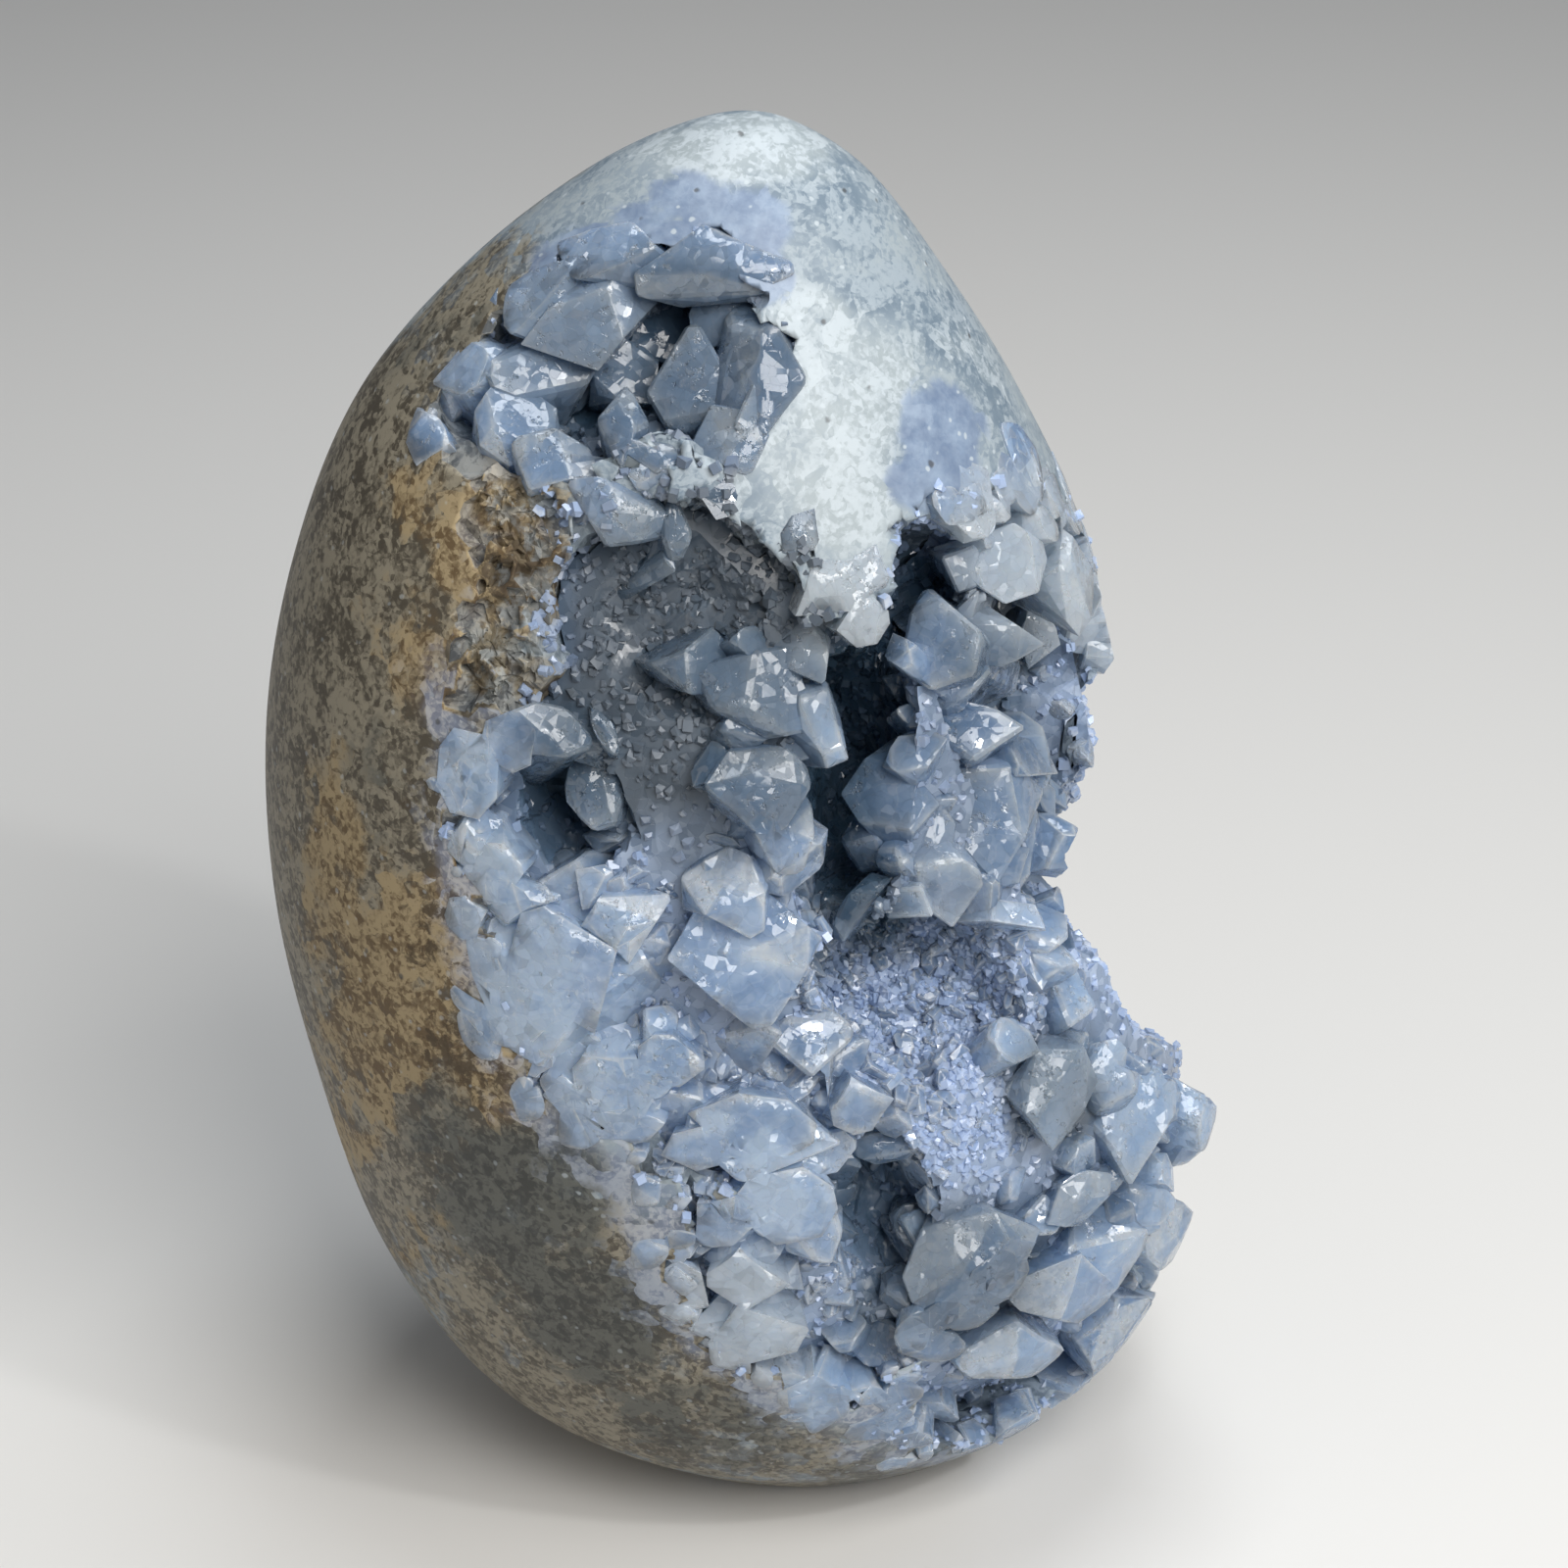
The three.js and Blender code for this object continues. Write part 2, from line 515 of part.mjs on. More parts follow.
// One crust for a hollow: rock with open space in it, and the crystals that stand on it.
// It keeps clear of the wall by the seam.
function makeCrust(cuts, voids, crystals, smallCount, seed) {
  const random = seededRandom(seed);
  const space = makeCutSpace(cuts, seam);
  const open = makeHollows(voids, 0, voidDetail);
  const openGeometry = toGeometry(open);
  const bed = space.intersect(crustForm).subtract(open);
  const named = crystals.map((crystal) => placeCrystal(crystal, openGeometry, random));
  const small = scatterCrystals(smallCount, openGeometry, random);
  const barred = grownEgg.subtract(space);
  const grown = joinAll([...named, ...small]).subtract(barred).subtract(footBlock);
  return toGeometry(largestPiece(bed.add(grown)));
}

const rockLook = new THREE.MeshStandardMaterial({ color: 0xb9bdc0, roughness: 0.42, metalness: 0 });
const crystalLook = new THREE.MeshStandardMaterial({ color: 0x8fa3c4, roughness: 0.22, metalness: 0 });

function namedMesh(name, geometry, material) {
  const mesh = new THREE.Mesh(geometry, material);
  mesh.name = name;
  return mesh;
}

const geode = new THREE.Group();
geode.add(namedMesh("polished_wall", wallGeometry, rockLook));
geode.add(namedMesh(
  "upper_hollow_crystals",
  makeCrust(upperCuts, upperVoids, upperCrystals, smallCrystals.upper, smallCrystals.seed),
  crystalLook,
));
geode.add(namedMesh(
  "main_hollow_crystals",
  makeCrust(mainCuts, mainVoids, mainCrystals, smallCrystals.main, smallCrystals.seed + 1),
  crystalLook,
));

export default geode;
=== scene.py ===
import math
import random

import bmesh
import bpy
import numpy as np
from mathutils import Matrix, Vector, noise
from mathutils.bvhtree import BVHTree


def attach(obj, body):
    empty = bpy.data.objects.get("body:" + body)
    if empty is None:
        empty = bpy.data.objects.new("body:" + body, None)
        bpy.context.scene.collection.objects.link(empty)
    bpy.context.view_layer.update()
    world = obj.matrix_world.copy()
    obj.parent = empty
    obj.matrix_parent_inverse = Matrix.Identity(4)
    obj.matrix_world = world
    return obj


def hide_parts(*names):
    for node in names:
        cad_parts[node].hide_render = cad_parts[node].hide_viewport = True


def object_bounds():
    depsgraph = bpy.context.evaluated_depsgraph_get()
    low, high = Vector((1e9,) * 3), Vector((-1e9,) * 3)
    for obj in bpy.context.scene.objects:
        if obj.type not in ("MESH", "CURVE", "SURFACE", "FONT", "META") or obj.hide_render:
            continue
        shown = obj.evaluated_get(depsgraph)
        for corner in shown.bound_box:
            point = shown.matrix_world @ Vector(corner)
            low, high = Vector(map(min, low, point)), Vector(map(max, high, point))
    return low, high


# A polished celestite egg with open hollows full of blunt crystals.
# Shapes are worked out in millimetres, because the source is in millimetres, and every
# finished mesh is written in metres.

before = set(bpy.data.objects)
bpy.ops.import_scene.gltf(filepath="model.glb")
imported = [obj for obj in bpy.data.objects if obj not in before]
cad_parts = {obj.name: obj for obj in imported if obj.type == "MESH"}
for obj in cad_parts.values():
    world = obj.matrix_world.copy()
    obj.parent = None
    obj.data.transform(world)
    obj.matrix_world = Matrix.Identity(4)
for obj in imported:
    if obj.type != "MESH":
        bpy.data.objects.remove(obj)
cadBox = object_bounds()
metres = 0.001
noise.seed_set(7)  # without a seed the noise's vectors differ from run to run


# The egg as level sections: height, middle and half width
egg = {
    "depthRatio": 0.848,
    "sections": [
        (0, 5.4, 22.5), (4, 4.9, 28.9), (13, 4.0, 38.7), (28, 3.0, 45.6),
        (46, 1.7, 48.9), (66, -2.7, 47.7), (86, -5.8, 44.3), (104, -6.0, 40.2),
        (120, -6.2, 33.2), (133, -4.7, 23.9), (143, -2.2, 14.1), (148.3, -0.7, 5.2),
    ],
    "tipHeight": 149,
    "tipMiddle": 0,
    "skin": 0.25,       # how far the polished rock stays inside the source's egg
    "crystalSkin": 0.12,  # the same for crystals that are ground flush
    "softRim": 5,       # depth over which the rim's colour turns into that of the hollow
    "around": 240,
    "rowsPerSection": 14,
}

# Places are given across and up on an upright sheet that faces an eye in front
sight = {"centre": Vector((3.2, 0, 76.7)), "distance": 400, "fall": math.radians(28.6)}
acrossAxis = Vector((1, 0, 0))
upAxis = Vector((0, math.sin(sight["fall"]), math.cos(sight["fall"])))
inwardsAxis = Vector((0, math.cos(sight["fall"]), -math.sin(sight["fall"])))
eye = sight["centre"] - inwardsAxis * sight["distance"]

# The hollows: across, up, sunk, half sizes and turn, as in the source
hollows = {
    "upperCuts": [
        (-20.5, 43, 3, (15.5, 10, 15), 20), (-9.5, 45, 4, (8, 11, 14), 10),
    ],
    "mainCuts": [
        (-11.5, 13, 1, (13.5, 15.5, 13), 0), (-18, -5, 1, (15, 17, 14), 12),
        (-9, -22, 0, (21, 18, 14), -20),
        (8, -2, 8, (14, 24, 26), 0), (24, 11, 9, (16, 19, 26), 0), (15.5, 22.5, 4, (5, 6, 13), 0),
        (45, 4, 20, (19, 19.5, 140), 0), (32, -9, 6, (17, 13, 34), 20),
        (38, -10, 40, (18, 18, 44), 20), (44.5, -16, 15, (24, 17.5, 140), -42),
        (22, -32, 8, (24, 21, 24), 0), (44, -35, 8, (21, 25, 30), 0),
        (-3, -35, 2, (11, 8.5, 10), -20), (4, -50, 3, (15, 17, 17), 5),
        (28, -57, 5, (20, 12, 22), 25), (35, -68.5, 20, (18, 11, 40), 43),
    ],
    "upperVoids": [
        (-20.5, 43, 2, (14, 8, 12), 20), (-10, 45, 4, (6.5, 9, 12), 10),
    ],
    "mainVoids": [
        (-11.5, 14, 0, (12, 12.5, 9.5), 0), (-22.5, -2.5, 3, (6.5, 10, 12), 10),
        (14, 19, 6, (6.5, 10, 16), -15), (15.5, 22, 5, (4.5, 5.5, 15), 0),
        (7, 0, 8, (7.5, 17, 22), -5),
        (27, 9, 8, (15, 16, 20), 0), (46, 4, 20, (18.5, 17.5, 140), 0),
        (35, -8, 8, (14, 11, 36), 20), (38, -7, 44, (16, 12, 46), 20),
        (45.5, -13.5, 15, (22.5, 16.5, 140), -42), (15, -22, 5, (15, 11, 12), -20),
        (10, -46, 4, (7, 13, 14), 5),
    ],
    "cutShare": 0.96,   # the source's balls are coarse, so these are a little smaller
    "voidShare": 0.9,
    "seam": 0.35,
    "crustShare": 0.9,
    "crustMiddle": 60,
    "lowestCut": 2.5,
    "facet": 4.2,       # size of the tilted facets on the walls of the hollows
    "facetStep": 1.0,
    "facetTilt": 0.5,
}


def eggRow(position):
    # a point on the outline curve: half width, middle, height
    rows = [(half, middle, height) for height, middle, half in egg["sections"]]
    last = rows[-1]
    rows.append((0, egg["tipMiddle"], egg["tipHeight"]))
    rows.append((-last[0], last[1], last[2]))
    first = tuple(2 * rows[0][i] - rows[1][i] for i in range(3))
    rows.insert(0, first)
    index = int(position)
    t = position - index
    a, b, c, d = (np.array(rows[index + k], float) for k in range(4))
    return 0.5 * (2 * b + (c - a) * t + (2 * a - 5 * b + 4 * c - d) * t ** 2
                  + (3 * b - a - 3 * c + d) * t ** 3)


def eggShape(skin, around, rowsPerSection):
    # points and faces of a closed egg, in millimetres
    points = []
    faces = []
    ringCount = len(egg["sections"]) * rowsPerSection
    angles = np.linspace(0, 2 * math.pi, around, endpoint=False)
    for ring in range(ringCount):
        half, middle, height = eggRow(ring / rowsPerSection)
        height *= 1 - skin / egg["tipHeight"]
        half = max(half - skin, 0.2)
        points.extend(zip(middle + half * np.cos(angles),
                          half * egg["depthRatio"] * np.sin(angles),
                          np.full(around, height)))
    foot = len(points)
    points.append((egg["sections"][0][1], 0, 0))
    points.append((egg["tipMiddle"], 0, egg["tipHeight"] - skin))
    top = (ringCount - 1) * around
    for side in range(around):
        following = (side + 1) % around
        faces.append((foot, following, side))
        faces.append((foot + 1, top + side, top + following))
        for ring in range(ringCount - 1):
            low = ring * around
            high = low + around
            faces.append((low + side, low + following, high + following, high + side))
    return np.array(points, float), faces


def treeOf(points, faces):
    return BVHTree.FromPolygons([Vector(p) for p in points], faces)


eggPoints, eggFaces = eggShape(0, 120, 6)
eggTree = treeOf(eggPoints, eggFaces)


def placeInEgg(across, up, sunk):
    sheetPoint = sight["centre"] + acrossAxis * across + upAxis * up
    direction = (sheetPoint - eye).normalized()
    hit = eggTree.ray_cast(eye, direction)[0]
    return (hit if hit else sheetPoint) + direction * sunk


def onSheet(points):
    # across, up and distance of many points, as the eye sees them
    rel = points - np.array(eye)
    distance = rel @ np.array(inwardsAxis)
    scale = sight["distance"] / distance
    return rel @ np.array(acrossAxis) * scale, rel @ np.array(upAxis) * scale, distance


def spotOf(point):
    # the same for one point, without the distance
    across, up, distance = onSheet(np.array([point]))
    return across[0], up[0]


def depthUnder(point):
    # how far a point lies under the polished form, below zero outside
    near, normal, index, distance = eggTree.find_nearest(point)
    return (near - point).dot(normal)


def onForm(centres, normals):
    # which faces belong to the polished form
    answer = np.zeros(len(centres), bool)
    for number in range(len(centres)):
        near, normal, index, distance = eggTree.find_nearest(Vector(centres[number]))
        answer[number] = distance < 0.5 and normal.dot(Vector(normals[number])) > 0.8
    return answer


def facetLift(point):
    # a voronoi cell gives each facet its own height and tilt
    size = hollows["facet"]
    spot = Vector(point) / size
    cell = noise.voronoi(spot)[1][0]
    tilt = noise.noise_vector(cell * 7.3) * hollows["facetTilt"] * size
    step = noise.noise(cell * 5.1) * hollows["facetStep"]
    fine = noise.noise(spot * 3.1) * 0.25
    return step + tilt.dot(spot - cell) + fine


def newObject(name, mesh):
    obj = bpy.data.objects.new(name, mesh)
    bpy.context.scene.collection.objects.link(obj)
    return obj


def meshFrom(name, points, faces):
    mesh = bpy.data.meshes.new(name)
    mesh.from_pydata([tuple(p) for p in points], [], faces)
    mesh.update()
    return mesh


def objectFrom(work, name):
    mesh = bpy.data.meshes.new(name)
    work.to_mesh(mesh)
    work.free()
    return newObject(name, mesh)


def noiseAt(points, size, move=(0, 0, 0)):
    # a value for each point, with features of that size in millimetres
    return np.array([noise.noise(Vector(p) / size + Vector(move)) for p in points])


def ballObject(ball, share, shrink, detail):
    across, up, sunk, half, turn = ball
    place = placeInEgg(across, up, sunk)
    axes = Matrix((acrossAxis, upAxis, -inwardsAxis)).transposed()
    turned = axes @ Matrix.Rotation(math.radians(turn), 3, "Z")
    work = bmesh.new()
    bmesh.ops.create_icosphere(work, subdivisions=detail, radius=1)
    for vertex in work.verts:
        p = vertex.co
        lump = 1 + 0.09 * math.sin(4 * p.x + across) * math.cos(5 * p.y + up)
        local = Vector([p[i] * lump * (half[i] * share - shrink) for i in range(3)])
        spot = turned @ local + place
        outwards = (spot - place).normalized()
        vertex.co = spot + outwards * (facetLift(spot) - 0.4)
    return objectFrom(work, "ball")


def combine(base, other, operation):
    # boolean with the other object, which is used up
    change = base.modifiers.new("combine", "BOOLEAN")
    change.operation = operation
    change.solver = "MANIFOLD"
    change.object = other
    depsgraph = bpy.context.evaluated_depsgraph_get()
    mesh = bpy.data.meshes.new_from_object(base.evaluated_get(depsgraph))
    base.modifiers.clear()
    base.data = mesh
    bpy.data.objects.remove(other)
    return base


def uniteBalls(balls, share, shrink, detail):
    whole = None
    for ball in balls:
        piece = ballObject(ball, share, shrink, detail)
        whole = combine(whole, piece, "UNION") if whole else piece
    return whole


def copyOf(obj):
    return newObject(obj.name, obj.data.copy())


def footBlock():
    # everything under the lowest cut stays whole
    work = bmesh.new()
    bmesh.ops.create_cube(work, size=200)
    bmesh.ops.translate(work, verts=work.verts, vec=(0, 0, hollows["lowestCut"] - 100))
    return objectFrom(work, "foot")


ballDetail = 6


def cutSpace(cuts, shrink):
    space = uniteBalls(cuts, hollows["cutShare"], shrink, ballDetail)
    return combine(space, footBlock(), "DIFFERENCE")


def crustForm():
    points, faces = eggShape(0, 96, 5)
    points[:, 2] -= hollows["crustMiddle"]
    points *= hollows["crustShare"]
    points[:, 2] += hollows["crustMiddle"]
    for number, point in enumerate(points):
        points[number] = point * (1 + 0.004 * noise.noise(Vector(point) / 5))
    return newObject("crustForm", meshFrom("crustForm", points, faces))


def crustBed(cuts, voids):
    bed = combine(cutSpace(cuts, hollows["seam"]), crustForm(), "INTERSECT")
    return combine(bed, uniteBalls(voids, hollows["voidShare"], 0, ballDetail), "DIFFERENCE")


def arraysOf(mesh):
    # points, face centres and face normals of a mesh
    points = np.empty(len(mesh.vertices) * 3)
    mesh.vertices.foreach_get("co", points)
    centres = np.empty(len(mesh.polygons) * 3)
    mesh.polygons.foreach_get("center", centres)
    normals = np.empty(len(mesh.polygons) * 3)
    mesh.polygons.foreach_get("normal", normals)
    return points.reshape(-1, 3), centres.reshape(-1, 3), normals.reshape(-1, 3)


def shareOfSection(points):
    # 0 in the middle of the egg, 1 on its polished form
    rows = np.array([eggRow(k / 8) for k in range(12 * 8)])
    half = np.interp(points[:, 2], rows[:, 2], rows[:, 0])
    middle = np.interp(points[:, 2], rows[:, 2], rows[:, 1])
    return np.hypot((points[:, 0] - middle) / half,
                    points[:, 1] / (half * egg["depthRatio"]))


def addValues(mesh, name, values, domain="POINT"):
    layer = mesh.attributes.new(name, "FLOAT", domain)
    layer.data.foreach_set("value", np.ascontiguousarray(values, np.float32))


# Parts with a colour of their own: across, up, width, height, strength
parts = {
    "grey": [(-8, 18, 34, 32, 1), (-15, 5, 26, 22, 1), (-10, -3, 14, 12, 0.7),
             (-1.5, 1, 13, 14, 0.9),
             (-13, 44, 40, 28, 0.8), (20, -1, 22, 26, 0.4), (19, -51, 17, 17, 0.85),
             (28.2, -31.6, 12, 13, 1), (32, -43, 13, 9, 0.6), (21.5, 14, 12, 9, 0.9),
             (11, -55, 9, 10, 0.7), (9, -12, 10, 10, 0.7), (38, -33, 11, 16, 0.25)],
    "milky": [(-24, -19, 18, 22, 1), (-2, -36, 20, 16, 1), (-18, -31, 14, 18, 0.7),
              (-4, -18, 15, 14, 0.5), (-4, -54, 16, 20, 1), (38, -33, 12, 18, 0.5),
              (-31, -4, 10, 26, 0.8), (1, -43, 10, 9, 0.9)],
    "pearl": [(26, 24, 22, 20, 0.9), (31, 15, 9, 14, 0.9), (16.3, -9.2, 7, 14, 0.5),
              (39.5, -50.5, 8, 8, 0.4), (29.5, 6, 7, 12, 0.6), (-4, -56, 18, 16, 0.7),
              (-33.6, -13, 8, 18, 0.4), (6, 20, 14, 16, 0.95)],
}


def spotDistance(x, y, wide, high, across, up):
    # 0 in the middle of an oval spot, 1 on its outline
    return np.hypot((across - x) / (wide / 2), (up - y) / (high / 2))


def inSpots(spots, across, up):
    return any(spotDistance(*spot, across, up) < 1 for spot in spots)


def spotShare(spots, across, up, fade=0.4):
    # the strength well inside the spots, 0 outside
    share = np.zeros(len(across))
    for x, y, wide, high, strength in spots:
        away = spotDistance(x, y, wide, high, across, up)
        share = np.maximum(share, strength * np.clip((1.15 - away) / fade, 0, 1))
    return share


def addParts(mesh, points):
    across, up, distance = onSheet(points)
    for name, spots in parts.items():
        addValues(mesh, name, spotShare(spots, across, up))


# Painted shade: how closed in and how deep a place lies darkens the colour of the wall, bed, druse
# and crystals in the hollows, partly also the darker look of clear crystal there
shade = {
    "rays": 14,
    "reach": 45,         # how far away a wall still darkens a place, in millimetres
    "closedFrom": 0.42,  # share of the rays that are stopped where the darkening starts
    "closedTo": 0.90,
    "depth": 13,         # depth under the polished form at which it is full
    # pockets with painted shade throughout: across, up, width, height, strength
    "pockets": [(-23.5, -2, 11, 17, 0.8), (8, 12, 10, 9, 1), (5, 0, 9, 17, 0.9),
                (9, -43, 9, 14, 0.7), (-13, 46.5, 5, 6, 0.6), (15, 20, 9, 11, 0.8),
                (9, -12, 9, 11, 0.85), (11, -55, 8, 10, 0.5)],
    # places where the painted shade is left off all the same
    "lit": [(15.5, -25, 26, 16, 0.7), (19, -35, 14, 14, 0.5), (30, 7, 9, 16, 0.9),
            (16.5, 26.5, 9, 6, 0.7)],
}


def hemisphere():
    rng = random.Random(12)
    found = []
    while len(found) < shade["rays"]:
        ray = Vector([rng.uniform(-1, 1) for i in range(3)])
        if 0.2 < ray.length < 1 and ray.z > 0.12 * ray.length:
            found.append(ray.normalized())
    return found


raySpread = hemisphere()


def hollowShade(points, normals):
    # painted shade: 0 in the open, 1 deep in a closed hollow
    answer = np.zeros(len(points))
    across, up, distance = onSheet(np.array(points))
    for number in range(len(points)):
        point, normal = Vector(points[number]), Vector(normals[number])
        depth = depthUnder(point)
        if depth < 0.5 or normal.length < 0.5:
            continue
        for x, y, wide, high, strength in shade["pockets"]:
            away = spotDistance(x, y, wide, high, across[number], up[number])
            dark = strength * min(max((1.3 - away) / 0.5, 0), 1) * min(max(depth / 3 - 1, 0), 1)
            answer[number] = max(answer[number], dark)
        turn = normal.to_track_quat("Z", "Y")
        start = point + normal * 0.5
        stopped = 0.0
        for ray in raySpread:
            hit = solidTree.ray_cast(start, turn @ ray, shade["reach"])[3]
            if hit is not None:
                stopped += 1 - 0.5 * hit / shade["reach"]
        closed = (stopped / shade["rays"] - shade["closedFrom"])
        closed /= shade["closedTo"] - shade["closedFrom"]
        closed = min(max(closed, 0), 1) ** 0.9 * min(depth / shade["depth"], 1)
        answer[number] = max(answer[number], closed)
    return answer * (1 - spotShare(shade["lit"], across, up))


def cornerNormals(mesh):
    mesh.update()
    return [v.normal.copy() for v in mesh.vertices]


def keepLargest(obj):
    # drops crumbs that the cutting leaves
    work = bmesh.new()
    work.from_mesh(obj.data)
    seen = set()
    groups = []
    for start in work.verts:
        if start in seen:
            continue
        group = [start]
        seen.add(start)
        for vertex in group:
            for edge in vertex.link_edges:
                other = edge.other_vert(vertex)
                if other not in seen:
                    seen.add(other)
                    group.append(other)
        groups.append(group)
    largest = max(groups, key=len)
    for group in groups:
        if group is not largest:
            bmesh.ops.delete(work, geom=group, context="VERTS")
    work.to_mesh(obj.data)
    work.free()


print("carving the wall")
wallPoints, wallFaces = eggShape(egg["skin"], egg["around"], egg["rowsPerSection"])
wall = newObject("wall_rock", meshFrom("wall_rock", wallPoints, wallFaces))
wall = combine(wall, cutSpace(hollows["upperCuts"], 0), "DIFFERENCE")
wall = combine(wall, cutSpace(hollows["mainCuts"], 0), "DIFFERENCE")
keepLargest(wall)
print("wall faces", len(wall.data.polygons))

print("filling the hollows")
mainBed = crustBed(hollows["mainCuts"], hollows["mainVoids"])
mainBed.name = "main_bed"
upperBed = crustBed(hollows["upperCuts"], hollows["upperVoids"])
upperBed.name = "upper_bed"
for bed in (mainBed, upperBed):
    keepLargest(bed)
    print(bed.name, "faces", len(bed.data.polygons))
